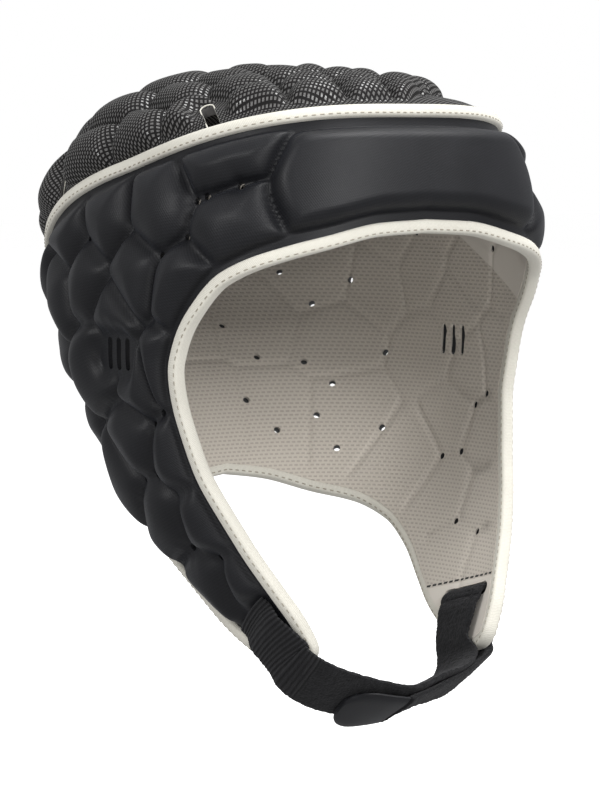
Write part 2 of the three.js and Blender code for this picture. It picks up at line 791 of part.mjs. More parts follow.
// Points across the strap where it hangs under the chin. start is the middle of its
// row at the flap, and round goes from 0 at the flap to 90 degrees under the chin.
function chinRow(start, drop, round, width = STRAP_WIDTH) {
  const power = 2 / CHIN_POWER;
  const middle = start.clone()
    .addScaledVector(down, drop * Math.sin(rad(round)) ** power)
    .addScaledVector(across, CHIN_FORWARD * Math.sin(rad(round)));
  middle.x = start.x * Math.max(Math.cos(rad(round)), 0) ** power;
  return STRAP_SHARES.map((share) => middle.clone().addScaledVector(across, share * width));
}

const toRight = (row) => row.map((p) => new THREE.Vector3(-p.x, p.y, p.z));

// Band of cloth along rows of points
function bandSolid(rows) {
  const rings = rows.map((row, i) => {
    const before = rows[Math.max(i - 1, 0)];
    const after = rows[Math.min(i + 1, rows.length - 1)];
    const wide = row[row.length - 1].clone().sub(row[0]);
    const inner = [];
    const outer = [];
    row.forEach((p, k) => {
      const out = after[k].clone().sub(before[k]).cross(wide).normalize();
      inner.push(p.clone().addScaledVector(out, -STRAP_THICKNESS / 2));
      outer.unshift(p.clone().addScaledVector(out, STRAP_THICKNESS / 2));
    });
    return [...inner, ...outer];
  });
  const middle = (row) => row[STRAP_MIDDLE].clone();
  return stackSolid(rings, middle(rows[0]), middle(rows[rows.length - 1]));
}

const CHIN_STEPS = [14, 32, 50, 70];
const LOW_DROP = CHIN_DROP + STRAP_THICKNESS + LAYER_GAP;

// Lower layer of the strap past the chin, by its distance from the middle of the chin
function lowRow(past, width) {
  const start = toRight(flapRow(FLAP_END, OVER_BINDING + STRAP_THICKNESS + LAYER_GAP))[STRAP_MIDDLE];
  const round = 90 - THREE.MathUtils.radToDeg(Math.asin((past / -start.x) ** (CHIN_POWER / 2)));
  return chinRow(start, LOW_DROP, round, width);
}

function chinStrap() {
  const rows = (pairs) => pairs.map(([length, offset]) => flapRow(length, offset));
  const over = rows([[7, OVER_BINDING], [14, OVER_BINDING], [FLAP_END, OVER_BINDING]]);
  const sewn = rows([[-SLOT_HEIGHT / 2, OUTSIDE], [1.5, OUTSIDE]]);
  const inside = rows([
    [FLAP_END, UNDER_BINDING], [14, UNDER_BINDING], [8, UNDER_BINDING], [4, INSIDE],
  ]);
  const fold = (OUTSIDE - INSIDE) / 2;
  const rim = SLOT_HEIGHT / 2 - 0.4;
  const turns = [0, 45, 90, 135, 180].map((round) => flapRow(
    rim - fold * Math.sin(rad(round)),
    INSIDE + fold * (1 - Math.cos(rad(round))),
  ));
  const low = over[over.length - 1][STRAP_MIDDLE];
  const right = toRight([low])[0];
  const left = inside[0][STRAP_MIDDLE];
  const back = CHIN_STEPS.slice().reverse();
  return bandSolid([
    ...[...sewn, ...over].map(toRight),
    ...CHIN_STEPS.map((round) => chinRow(right, CHIN_DROP, round)),
    chinRow(right, CHIN_DROP, 90),
    ...back.map((round) => chinRow(left, CHIN_DROP, round)),
    ...inside,
    ...turns,
    ...over,
    ...CHIN_STEPS.map((round) => chinRow(low, LOW_DROP, round)),
    chinRow(low, LOW_DROP, 90),
    lowRow(TAB_PAST_CHIN - TAB_LENGTH, STRAP_WIDTH),
  ]);
}

// Smooth tab at the free end, rounded at its tip
function strapTab() {
  const start = TAB_PAST_CHIN - TAB_LENGTH + LAYER_GAP;
  const shares = [[0, 1], [0.45, 1], [0.7, 0.94], [0.88, 0.74], [1, 0.4]];
  const length = TAB_PAST_CHIN - start;
  return bandSolid(shares.map(([share, width]) => (
    lowRow(start + share * length, width * STRAP_WIDTH))));
}

// Slot in the left flap for the strap
function strapSlot() {
  const half = SLOT_LENGTH / STRAP_WIDTH;
  const sheet = (offset) => [-SLOT_HEIGHT / 2, SLOT_HEIGHT / 2].map((length) => (
    flapRow(length, offset, half * STRAP_WIDTH)));
  return toSolid(slabSolid(sheet(-1), sheet(WALL + 1)));
}

function cutWall(wall, cutters) {
  let solid = toSolid(wall);
  cutters.forEach((cutter) => { solid = solid.subtract(cutter); });
  return toGeometry(mainBody(solid));
}

const FINISHES = {};
Object.entries(COLOURS).forEach(([name, settings]) => {
  FINISHES[name] = new THREE.MeshStandardMaterial({ name, ...settings });
});

function build() {
  const cap = new THREE.Group();
  cap.name = 'rugby_scrum_cap';
  const add = (name, geometry, finish) => {
    geometry.computeVertexNormals();
    const mesh = new THREE.Mesh(geometry, FINISHES[finish]);
    mesh.name = name;
    cap.add(mesh);
  };
  const cutters = [...ventCutters(), strapSlot()];
  const shellInside = LINING_THICKNESS + GAP;
  add('lining', cutWall(clothWall(0, LINING_THICKNESS), cutters), 'lining');
  add('shell', cutWall(clothWall(shellInside, WALL), cutters), 'stretch');
  add('crown', crown(), 'mesh');
  add('crown_binding', outward(crownBinding()), 'binding');
  add('edge_binding', outward(edgeBinding()), 'binding');
  add('forehead_pad', outward(foreheadPad()), 'stretch');
  sidePads().forEach(({ name, geometry }) => add(name, outward(geometry), 'stretch'));
  add('chin_strap', outward(chinStrap()), 'strap');
  add('strap_tab', outward(strapTab()), 'stretch');
  return cap;
}

export default build();
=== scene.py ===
"""Looks of a rugby scrum cap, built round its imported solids.

Sizes are in millimetres while shapes are worked out, and meshes are made in metres.
"""

import logging
import math
from dataclasses import dataclass, field
from enum import Enum
from typing import Any

import bpy
import numpy as np
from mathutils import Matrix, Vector


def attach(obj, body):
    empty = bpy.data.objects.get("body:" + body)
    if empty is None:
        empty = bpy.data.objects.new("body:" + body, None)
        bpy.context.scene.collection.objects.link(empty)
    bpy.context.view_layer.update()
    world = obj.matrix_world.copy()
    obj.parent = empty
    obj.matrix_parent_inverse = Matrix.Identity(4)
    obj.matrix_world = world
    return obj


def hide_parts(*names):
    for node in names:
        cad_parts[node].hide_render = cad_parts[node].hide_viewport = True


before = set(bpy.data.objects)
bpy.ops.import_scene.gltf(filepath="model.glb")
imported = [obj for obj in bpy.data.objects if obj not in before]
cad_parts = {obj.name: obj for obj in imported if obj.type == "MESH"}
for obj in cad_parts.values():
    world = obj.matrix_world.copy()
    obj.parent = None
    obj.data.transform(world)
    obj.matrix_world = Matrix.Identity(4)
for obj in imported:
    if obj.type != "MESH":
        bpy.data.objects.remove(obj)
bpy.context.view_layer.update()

Array = np.ndarray
MM = 0.001
TAU = 2 * math.pi
log = logging.getLogger("scrum_cap")


@dataclass(frozen=True)
class Curve:
    """Monotone cubic through the rows of a table, so that no value overshoots.

    Args:
        at: Where the rows are, rising.
        values: The value at each row.
    """

    at: Array
    values: Array

    def __call__(self, where: Array) -> Array:
        """Read the curve.

        Args:
            where: Places to read.

        Returns:
            The values there, held at the ends.
        """
        slope = np.diff(self.values) / np.diff(self.at)
        before, after = slope[:-1], slope[1:]
        total = np.where(before + after == 0, 1, before + after)
        inner = np.where(before * after > 0, 2 * before * after / total, 0)
        tangent = np.concatenate([slope[:1], inner, slope[-1:]])
        x = np.clip(where, self.at[0], self.at[-1])
        i = np.clip(np.searchsorted(self.at, x, side="right") - 1, 0, len(self.at) - 2)
        width = self.at[i + 1] - self.at[i]
        t = (x - self.at[i]) / width
        t2, t3 = t * t, t * t * t
        ends = (2 * t3 - 3 * t2 + 1) * self.values[i] + (3 * t2 - 2 * t3) * self.values[i + 1]
        return ends + width * ((t3 - 2 * t2 + t) * tangent[i] + (t3 - t2) * tangent[i + 1])


def unit(vectors: Array) -> Array:
    """Scale vectors to length one.

    Args:
        vectors: Vectors on the last axis.

    Returns:
        The unit vectors.
    """
    return vectors / np.maximum(np.linalg.norm(vectors, axis=-1, keepdims=True), 1e-9)


def smoothstep(x: Array) -> Array:
    """Ease from 0 to 1.

    Args:
        x: Places, of which 0 to 1 is the step.

    Returns:
        The eased values.
    """
    t = np.clip(x, 0, 1)
    return t * t * (3 - 2 * t)


# Sections of the head form from the crown down: level, centre, width, front, back, squareness
SECTIONS = np.array([
    (0.000, 0.00, 0.740, 0.790, 0.740, 2.7),
    (0.024, 0.00, 0.800, 0.830, 0.790, 2.7),
    (0.057, 0.00, 0.850, 0.865, 0.840, 2.8),
    (0.100, 0.00, 0.885, 0.900, 0.890, 2.9),
    (0.150, 0.00, 0.910, 0.930, 0.935, 3.0),
    (0.215, 0.00, 0.950, 0.960, 0.980, 3.1),
    (0.290, 0.00, 0.985, 0.985, 0.990, 3.4),
    (0.380, 0.00, 1.000, 1.000, 0.920, 3.6),
    (0.470, -0.04, 1.000, 0.970, 0.790, 3.4),
    (0.560, -0.13, 0.960, 0.880, 0.720, 3.2),
    (0.665, -0.24, 0.900, 0.780, 0.700, 3.0),
    (0.780, -0.36, 0.790, 0.720, 0.720, 2.8),
    (0.900, -0.47, 0.635, 0.620, 0.720, 2.8),
    (1.000, -0.53, 0.530, 0.500, 0.640, 2.8),
    (1.080, -0.56, 0.480, 0.440, 0.580, 2.8),
])

# Lower edge of one side, from the brow round the flap to the nape: turn, level, seam
EDGE = np.array([
    (0, 0.242, 0), (15, 0.247, 15), (30, 0.270, 29), (42, 0.295, 41), (51.5, 0.330, 49),
    (57.5, 0.380, 54), (62.5, 0.437, 60), (66, 0.500, 65), (68, 0.575, 70), (68, 0.655, 74.5),
    (66.5, 0.735, 78.5), (64.5, 0.805, 82), (61.5, 0.870, 85), (57.5, 0.926, 88),
    (55.5, 0.965, 90.5), (59, 0.985, 93), (67, 0.996, 95.5), (79, 0.989, 98),
    (90, 0.970, 101), (98.5, 0.940, 104), (105, 0.898, 108), (112.5, 0.843, 113),
    (122, 0.794, 120), (134, 0.762, 130), (148, 0.745, 145), (165, 0.718, 164),
    (180, 0.706, 180),
])

# Middles of the foam pads on one side: turn, level and how far each pushes its borders out
SIDE_PADS = np.array([
    (54, 0.128, 0), (70, 0.212, 0), (91, 0.238, 0), (108, 0.268, 0), (50, 0.232, 0),
    (61.5, 0.352, 0), (77.5, 0.334, 0), (98, 0.335, 0), (115, 0.365, 0), (85, 0.405, 0),
    (69.5, 0.490, 0), (80, 0.515, 0), (98, 0.485, 0), (92, 0.612, 0), (75.5, 0.635, 0),
    (96, 0.745, 0), (76, 0.745, 0), (114, 0.690, 0), (90, 0.860, 0), (72, 0.855, 0),
    (131, 0.345, 0), (133, 0.475, 0), (156, 0.448, 0), (136, 0.615, 0), (158, 0.605, 0),
])
BACK_PADS = np.array([(180, 0.440, 0), (180, 0.590, 0)])

# Round vents where the grooves meet, on one side: turn, level
VENTS = np.array([
    (143, 0.350), (123, 0.364), (145, 0.520), (166, 0.450), (118, 0.500), (140, 0.680),
    (124, 0.640), (104, 0.690), (84, 0.690), (71, 0.570), (136, 0.410), (159, 0.510),
    (138, 0.560), (167, 0.588), (145, 0.619), (159, 0.645), (62, 0.205), (49, 0.152),
    (41, 0.205), (56, 0.271), (72.6, 0.310), (99, 0.276), (79, 0.633), (99, 0.776),
    (86, 0.814),
])

# Forehead bar: share of its height and half its turn there
BAR_ENDS = np.array([(0, 37), (0.45, 42), (1, 38)])

# Domed pads of the crown: share of the way to the rim, how many, first turn
CROWN_RINGS = ((0.86, 19, 9.5), (0.61, 13, 0.0), (0.37, 8, 12.0), (0.13, 3, 30.0))
CROWN_VENT_TURNS = (56.8, 113.7, 246.3, 303.2)


@dataclass
class HeadForm:
    """Inside of the lining, on which every piece of the cap is laid."""

    half_width: float = 76.5
    front_reach: float = 90.0
    back_reach: float = 91.0
    depth: float = 210.0
    square_back: float = 2.3
    seam_height: float = -30.6
    seam_slope: float = -0.27
    seam_back_radius: float = 200.0
    seam_bulge: float = 4.0
    bulge_reach: float = 12.0
    nudge: float = 0.5
    columns: list[Curve] = field(default_factory=list)

    def __post_init__(self) -> None:
        """Make one curve for each column of the section table."""
        self.columns = [Curve(SECTIONS[:, 0], SECTIONS[:, k]) for k in range(1, 6)]

    def point(self, turn: Array, z: Array) -> Array:
        """Find points of the head form.

        Args:
            turn: Degrees from the front.
            z: Heights.

        Returns:
            The points.
        """
        turn, z = np.broadcast_arrays(np.asarray(turn, float), np.asarray(z, float))
        centre, width, front, back, square = (curve(-z / self.depth) for curve in self.columns)
        side, ahead = np.sin(np.radians(turn)), np.cos(np.radians(turn))
        power = np.where(ahead > 0, square, self.square_back)
        reach = np.where(ahead > 0, front * self.front_reach, back * self.back_reach)
        size = (np.abs(side) ** power + np.abs(ahead) ** power) ** (-1 / power)
        x = width * self.half_width * side * size
        y = centre * self.front_reach - reach * ahead * size
        behind = smoothstep((0.15 - ahead) / 0.6)
        bulge = self.seam_bulge * behind * np.exp(-((z - self.seam_at(y)) / self.bulge_reach) ** 2)
        return np.stack([x + bulge * side, y - bulge * ahead, z], axis=-1)

    def outward(self, turn: Array, z: Array) -> Array:
        """Find outward normals of the head form.

        Args:
            turn: Degrees from the front.
            z: Heights.

        Returns:
            The unit normals.
        """
        step = self.nudge
        along = self.point(turn + step, z) - self.point(turn - step, z)
        down = self.point(turn, z - step) - self.point(turn, z + step)
        return unit(np.cross(down, along))

    def wall(self, turn: Array, z: Array, offset: Array) -> Array:
        """Find points at a distance outside the head form.

        Args:
            turn: Degrees from the front.
            z: Heights.
            offset: Distances along the normal.

        Returns:
            The points.
        """
        lift = np.asarray(offset, float)[..., None] if np.ndim(offset) else offset
        return self.point(turn, z) + self.outward(turn, z) * lift

    def seam_at(self, y: Array) -> Array:
        """Give the height of the crown seam's plane at a place from front to back."""
        sag = np.maximum(y, 0) ** 2 / (2 * self.seam_back_radius)
        return self.seam_height + self.seam_slope * y - sag

    def seam_z(self, turn: Array) -> Array:
        """Give the height of the crown seam at a turn."""
        z = np.full(np.shape(turn), self.seam_height)
        for _ in range(8):
            z = self.seam_at(self.point(turn, z)[..., 1])
        return z

    def crown(self, turn: Array, out: Array) -> Array:
        """Find points of the crown's inside.

        Args:
            turn: Degrees from the front.
            out: Shares of the way from the middle to the seam.

        Returns:
            The points.
        """
        turn, out = np.broadcast_arrays(np.asarray(turn, float), np.asarray(out, float))
        share = np.clip(out, 0, 1)
        rim = self.point(turn, self.seam_z(turn))
        x, y = rim[..., 0] * share, rim[..., 1] * share
        z = self.seam_at(y) * (1 - np.sqrt(1 - share * share))
        return np.stack([x, y, z], axis=-1)

    def crown_outward(self, turn: Array, out: Array) -> Array:
        """Find outward normals of the crown.

        Args:
            turn: Degrees from the front.
            out: Shares of the way from the middle to the seam.

        Returns:
            The unit normals.
        """
        step = np.minimum(0.01, (1 - out) / 2 + 0.001)
        inner = np.clip(out, 0.01, 1 - step)
        along = self.crown(turn + self.nudge, inner) - self.crown(turn - self.nudge, inner)
        down = self.crown(turn, inner + step) - self.crown(turn, inner - step)
        return unit(np.cross(down, along))

    def slide(self, turn: Array, z: Array, move: Array) -> tuple[Array, Array]:
        """Move spots of the head form by distances on its surface.

        Args:
            turn: Degrees from the front.
            z: Heights.
            move: Vectors to move by.

        Returns:
            The new turns and heights.
        """
        step = self.nudge
        along = self.point(turn + step, z) - self.point(turn - step, z)
        down = self.point(turn, z - step) - self.point(turn, z + step)
        aa, dd, ad = (np.sum(p * q, -1) for p, q in ((along, along), (down, down), (along, down)))
        ma, md = np.sum(move * along, -1), np.sum(move * down, -1)
        det = aa * dd - ad * ad
        turns = 2 * step * (ma * dd - md * ad) / det
        return turn + turns, z - 2 * step * (md * aa - ma * ad) / det

    def inset(self, turn: Array, z: Array, distance: float) -> tuple[Array, Array]:
        """Move a closed loop of spots over the surface to its upper side.

        Args:
            turn: Degrees from the front, round the loop.
            z: Heights.
            distance: How far to move.

        Returns:
            The new turns and heights.
        """
        points = self.point(turn, z)
        along = unit(np.roll(points, -1, axis=0) - np.roll(points, 1, axis=0))
        up = unit(np.cross(self.outward(turn, z), along))
        return self.slide(turn, z, up * distance)


class Wrap(Enum):
    """How a lattice of points closes."""

    AROUND = "columns meet"
    BOTH = "rows and columns meet"
    NONE = "open"


def deselect() -> None:
    """Leave edit mode and select nothing."""
    if bpy.context.object and bpy.context.object.mode != "OBJECT":
        bpy.ops.object.mode_set(mode="OBJECT")
    bpy.ops.object.select_all(action="DESELECT")


def edit(piece: bpy.types.Object) -> None:
    """Open a piece in edit mode with all of it selected.

    Args:
        piece: The mesh object.
    """
    deselect()
    piece.select_set(True)
    bpy.context.view_layer.objects.active = piece
    bpy.ops.object.mode_set(mode="EDIT")
    bpy.ops.mesh.select_all(action="SELECT")


def lattice(name: str, points: Array, flat: Array, wrap: Wrap) -> bpy.types.Object:
    """Lay a grid primitive on a lattice of points and close it.

    Args:
        name: The piece's name.
        points: Points in millimetres, by row and column.
        flat: Flat coordinates in millimetres for the cloth's pattern, by row and column.
        wrap: How the lattice closes.

    Returns:
        The piece.
    """
    if wrap is not Wrap.NONE:
        points = np.concatenate([points, points[:, :1]], axis=1)
        if flat.shape[1] < points.shape[1]:
            flat = np.concatenate([flat, 2 * flat[:, -1:] - flat[:, -2:-1]], axis=1)
    if wrap is Wrap.BOTH:
        points = np.concatenate([points, points[:1]])
        flat = np.concatenate([flat, 2 * flat[-1:] - flat[-2:-1]])
    rows, cols = points.shape[:2]
    deselect()
    bpy.ops.mesh.primitive_grid_add(x_subdivisions=cols - 1, y_subdivisions=rows - 1)
    piece = bpy.context.object
    piece.name = piece.data.name = name
    mesh = piece.data
    mesh.vertices.foreach_set("co", (points.reshape(-1, 3) * MM).ravel())
    corners = np.empty(len(mesh.loops), dtype=np.int32)
    mesh.loops.foreach_get("vertex_index", corners)
    mesh.uv_layers[0].data.foreach_set("uv", flat.reshape(-1, 2)[corners].ravel())
    edit(piece)
    bpy.ops.mesh.remove_doubles(threshold=1e-6)
    bpy.ops.mesh.normals_make_consistent(inside=False)
    bpy.ops.object.mode_set(mode="OBJECT")
    bpy.ops.object.shade_smooth()
    return piece


def positions(piece: bpy.types.Object) -> Array:
    """Read a piece's vertices.

    Args:
        piece: The mesh object.

    Returns:
        The points in millimetres.
    """
    found = np.empty(len(piece.data.vertices) * 3)
    piece.data.vertices.foreach_get("co", found)
    return found.reshape(-1, 3) / MM


def place(piece: bpy.types.Object, points: Array) -> None:
    """Write a piece's vertices.

    Args:
        piece: The mesh object.
        points: The points in millimetres.
    """
    piece.data.vertices.foreach_set("co", (points * MM).ravel())
    piece.data.update()


def bisector_depth(points: Array, seeds: Array, push: Array, soft: float) -> Array:
    """Measure how far points lie inside the cell of their nearest seed.

    Args:
        points: Points, one per row.
        seeds: Middles of the cells.
        push: How far each cell pushes its borders out.
        soft: Rounding of the cells' corners.

    Returns:
        The rounded distance to the cell's border.
    """
    squares = ((points[:, None, :] - seeds[None]) ** 2).sum(-1) - 40 * push[None]
    nearest = squares.argmin(1)
    own = squares[np.arange(len(points)), nearest]
    apart = np.linalg.norm(seeds[nearest][:, None, :] - seeds[None], axis=-1)
    apart = np.where(apart < 0.01, 1e9, apart)
    depth = (squares - own[:, None]) / (2 * apart)
    depth[np.arange(len(points)), nearest] = 1e9
    return -soft * np.log(np.exp(-np.minimum(depth, 60) / soft).sum(1))


def distance_to(points: Array, line: Array) -> Array:
    """Measure the distance from points to the nearest point of a line.

    Args:
        points: Points, one per row.
        line: Closely spaced points of the line.

    Returns:
        The distances.
    """
    return np.sqrt(((points[:, None, :] - line[None]) ** 2).sum(-1).min(1))


def dome(depth: Array, width: float, power: float = 0.62) -> Array:
    """Give the height of a padded form by the distance to its border.

    Args:
        depth: Distances inside the border.
        width: Distance over which the form rises.
        power: How steeply it rises at the border.

    Returns:
        Heights from 0 to 1.
    """
    t = np.clip(depth / width, 0, 1)
    return (1 - (1 - t) ** 2) ** power


@dataclass
class Hole:
    """A rounded hole or slot through the cloth."""

    start: Array
    end: Array
    axis: Array
    radius: float
    reach: float = 9.0

    def off(self, points: Array) -> tuple[Array, Array]:
        """Measure points from the hole's middle line.

        Args:
            points: Points in millimetres.

        Returns:
            Vectors from the line, across the hole's axis, and their lengths. Points that
            are far from the hole along its axis get a very large length.
        """
        along = self.end - self.start
        local = points - self.start
        share = np.clip(local @ along / max(float(along @ along), 1e-9), 0, 1)
        off = local - share[:, None] * along
        deep = off @ self.axis
        off = off - deep[:, None] * self.axis
        away = np.linalg.norm(off, axis=1)
        return off, np.where(np.abs(deep) < self.reach, away, 1e9)


def punch(piece: bpy.types.Object, holes: list[Hole], depth: float = 40.0) -> None:
    """Cut holes and slots through a piece.

    Args:
        piece: The mesh object.
        holes: The holes to cut.
        depth: Length of the cutters in millimetres.
    """
    deselect()
    cutters = []
    for hole in holes:
        bpy.ops.mesh.primitive_cylinder_add(vertices=20, radius=1, depth=2)
        cutter = bpy.context.object
        along = unit(hole.end - hole.start + np.array([0, 0, 1e-6]))
        side = unit(np.cross(hole.axis, along))
        ahead = np.cross(side, hole.axis)
        local = positions(cutter) * MM
        middle = np.where(local[:, :1] > 0, hole.end, hole.start)
        round_off = local[:, :1] * ahead + local[:, 1:2] * side
        place(cutter, middle + round_off * hole.radius + local[:, 2:] * hole.axis * depth / 2)
        cutters.append(cutter)
    for cutter in cutters:
        cutter.select_set(True)
    bpy.context.view_layer.objects.active = cutters[0]
    bpy.ops.object.join()
    tool = bpy.context.object
    edit(tool)
    bpy.ops.mesh.normals_make_consistent(inside=False)
    deselect()
    piece.select_set(True)
    bpy.context.view_layer.objects.active = piece
    bpy.ops.object.modifier_add(type="BOOLEAN")
    change = piece.modifiers[-1]
    change.operation = "DIFFERENCE"
    change.solver = "EXACT"
    change.object = tool
    bpy.ops.object.modifier_apply(modifier=change.name)
    bpy.ops.object.shade_smooth_by_angle(angle=math.radians(60))
    deselect()
    tool.select_set(True)
    bpy.ops.object.delete()


@dataclass(frozen=True)
class StrapRoom:
    """What the strap needs of the flaps: its slot and flat cloth under it."""

    slot: Hole
    footprint: Array


@dataclass
class CapLayout:
    """Lines and layers that the pieces of the cap share."""

    form: HeadForm
    wall: float = 3.3
    pad_height: float = 8.2
    groove: float = 1.2
    edge_margin: float = 5.2
    binding_width: float = 5.0
    binding_thickness: float = 5.4
    bend: int = 4
    ear_turn: float = 87.0
    ear_level: float = 0.468
    ear_clearing: float = 8.0
    vent_clearing: float = 1.6
    seen_turn: float = 108.0
    strap_clearing: float = 1.8
    bar_margin: float = 6.0
    slot_anchor: tuple[float, float] = (77.0, 0.915)
    strap: "StrapRoom | None" = None

    def edge(self, seam: Array) -> tuple[Array, Array]:
        """Give the lower edge by the turn where its line of cloth leaves the seam.

        Args:
            seam: Turns at the seam, from 0 to 360.

        Returns:
            Turns and heights of the edge.
        """
        half = np.where(seam <= 180, seam, 360 - seam)
        turn = Curve(EDGE[:, 2], EDGE[:, 0])(half)
        level = Curve(EDGE[:, 2], EDGE[:, 1])(half)
        return np.where(seam <= 180, turn, 360 - turn), -level * self.form.depth

    def lines(self, count: int) -> Array:
        """Space lines of cloth evenly, as seen at the seam and at the edge together.

        Args:
            count: How many lines, all the way round.

        Returns:
            Their turns at the seam.
        """
        fine = np.linspace(0, 360, 2881)
        steps = np.zeros(len(fine) - 1)
        for turn, z in (self.edge(fine), (fine, self.form.seam_z(fine))):
            steps += np.linalg.norm(np.diff(self.form.point(turn, z), axis=0), axis=1)
        length = np.concatenate([[0], np.cumsum(steps)])
        return np.interp(np.arange(count) * length[-1] / count, length, fine)

    def spots(self, count: int, shares: Array, top: float, low: float) -> tuple[Array, Array]:
        """Give the lattice of spots of the wall between the seam and the lower edge.

        Args:
            count: How many lines of cloth.
            shares: Rows, as shares of the way from the seam to the edge.
            top: Distance of the first row below the seam.
            low: Distance of the last row above the edge.

        Returns:
            Turns and heights, by row and column.
        """
        seam = self.lines(count)
        start = self.form.inset(seam, self.form.seam_z(seam), -top)
        end = self.form.inset(*self.edge(seam), low)
        share = shares[:, None]
        turn = start[0] + (end[0] - start[0]) * share ** self.bend
        return turn, start[1] + (end[1] - start[1]) * share

    def outline(self, count: int = 420) -> Array:
        """Give points of the seam and the lower edge."""
        seam = self.lines(count)
        edge = self.form.point(*self.edge(seam))
        return np.concatenate([self.form.point(seam, self.form.seam_z(seam)), edge])

    def seeds(self) -> tuple[Array, Array]:
        """Give the middles of all pads of the wall.

        Returns:
            The points, and how far each pushes its borders out.
        """
        mirrored = SIDE_PADS * (-1, 1, 1) + (360, 0, 0)
        table = np.concatenate([SIDE_PADS, BACK_PADS, mirrored])
        return self.form.point(table[:, 0], -table[:, 1] * self.form.depth), table[:, 2]

    def bar_depth(self, turn: Array, z: Array) -> Array:
        """Measure how far spots lie inside the forehead bar.

        Args:
            turn: Degrees from the front.
            z: Heights.

        Returns:
            Distances to the bar's border, negative outside it.
        """
        away = np.minimum(turn, 360 - turn)
        top = self.form.seam_z(away) - self.bar_margin
        brow = -Curve(EDGE[:9, 0], EDGE[:9, 1])(away) * self.form.depth + self.bar_margin
        share = np.clip((top - z) / (top - brow), 0, 1)
        side = (Curve(BAR_ENDS[:, 0], BAR_ENDS[:, 1])(share) - away) * 1.5
        soft = 1.2
        parts = np.stack([top - z, z - brow, side])
        return -soft * np.log(np.exp(-np.clip(parts, -60, 60) / soft).sum(0))

    def ear_slots(self) -> list["Hole"]:
        """Give the slots of both ear vents."""
        found = []
        for turn in (self.ear_turn, 360 - self.ear_turn):
            z = -self.ear_level * self.form.depth
            middle, out = self.form.point(turn, z), self.form.outward(turn, z)
            across = unit(np.cross((0, 0, 1), out))
            for side in (-6.0, 0.0, 6.0):
                at = middle + across * side
                found.append(Hole(at + (0, 0, 4.6), at - (0, 0, 4.6), out, 1.5))
        return found

    def settle(self, turn: float, z: float) -> tuple[float, float]:
        """Move a vent to the nearest place where three pads meet.

        Args:
            turn: Degrees from the front.
            z: Height.

        Returns:
            The new turn and height.
        """
        turns, heights = np.meshgrid(turn + np.linspace(-8, 8, 33), z + np.linspace(-10, 10, 41))
        points = self.form.point(turns.ravel(), heights.ravel())
        seeds = self.seeds()[0]
        away = np.sort(np.linalg.norm(points[:, None] - seeds[None], axis=-1), axis=1)
        best = np.argmin(away[:, 2] - away[:, 0])
        return turns.ravel()[best], heights.ravel()[best]

    def vents(self) -> list["Hole"]:
        """Give the round vents of both sides."""
        found = []
        for turn, level in VENTS:
            z = -level * self.form.depth
            if turn < self.seen_turn:
                turn, z = self.settle(turn, z)
            for side in (turn, 360 - turn):
                middle = self.form.point(side, z)
                found.append(Hole(middle, middle, self.form.outward(side, z), 1.4))
        return found



def ride(piece: bpy.types.Object, slot: str, *nodes: str) -> bpy.types.Object:
    """Hang a piece on the cap's body and hide the parts that it replaces.

    Args:
        piece: The piece.
        slot: Not used.
        nodes: The nodes that it replaces.

    Returns:
        The piece.
    """
    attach(piece, "root")
    if nodes:
        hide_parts(*nodes)
    log.info("%s: %d faces", piece.name, len(piece.data.polygons))
    return piece


def soften(field: Array) -> Array:
    """Even out heights over neighbouring rows and round each row.

    Args:
        field: Heights, by row and column.

    Returns:
        The evened heights.
    """
    tall = np.pad(field, ((1, 1), (0, 0)), mode="edge")
    field = tall[1:-1] * 0.5 + (tall[:-2] + tall[2:]) * 0.25
    return field * 0.5 + (np.roll(field, 1, axis=1) + np.roll(field, -1, axis=1)) * 0.25


@dataclass
class Cover:
    """Black stretch cloth over the foam pads of the sides, back and forehead."""

    layout: CapLayout
    lines: int = 696
    rows: int = 124
    inner_rows: int = 12
    rise: float = 15.0
    roundness: float = 0.5

    def relief(self, turn: Array, z: Array) -> Array:
        """Work out how far the foam lifts the cloth.

        Args:
            turn: Degrees from the front, by row and column.
            z: Heights.

        Returns:
            The lift in millimetres.
        """
        layout = self.layout
        points = layout.form.point(turn, z)
        seeds, push = layout.seeds()
        outline = layout.outline()
        ears = np.array([(slot.start + slot.end) / 2 for slot in layout.ear_slots()])
        vents = np.array([vent.start for vent in layout.vents()])
        lift = np.empty(turn.shape)
        for row in range(len(turn)):
            spots = points[row]
            cell = bisector_depth(spots, seeds, push, 0.9) - layout.groove / 2
            edge = distance_to(spots, outline) - layout.edge_margin
            ear = distance_to(spots, ears) - layout.ear_clearing
            bar = layout.bar_depth(turn[row], z[row])
            vent = distance_to(spots, vents) - layout.vent_clearing
            strap = distance_to(spots, layout.strap.footprint) - layout.strap_clearing
            parts = np.stack([cell, edge, ear, vent, strap, -bar - layout.groove])
            pad = -0.8 * np.log(np.exp(-np.clip(parts, -60, 60) / 0.8).sum(0))
            flat = 0.95 * dome(bar, 6.0, 0.6)
            lift[row] = layout.pad_height * np.maximum(dome(pad, self.rise, self.roundness), flat)
        return soften(soften(lift))

    def build(self) -> bpy.types.Object:
        """Make the cover.

        Returns:
            The piece.
        """
        layout = self.layout
        turn, z = layout.spots(self.lines, np.linspace(0, 1, self.rows), 1.0, 1.0)
        lift = layout.wall + self.relief(turn, z)
        outer = layout.form.wall(turn, z, lift)
        back = layout.spots(self.lines, np.linspace(1, 0, self.inner_rows), 1.0, 1.0)
        inner = layout.form.wall(*back, np.full(back[0].shape, 1.3))
        points = np.concatenate([outer, inner])
        flat = np.concatenate([np.stack([turn * 1.4, z], -1), np.stack([back[0] * 1.4, back[1]], -1)])
        piece = lattice("cover", points, flat, Wrap.BOTH)
        punch(piece, layout.vents() + layout.ear_slots() + [layout.strap.slot])
        return piece


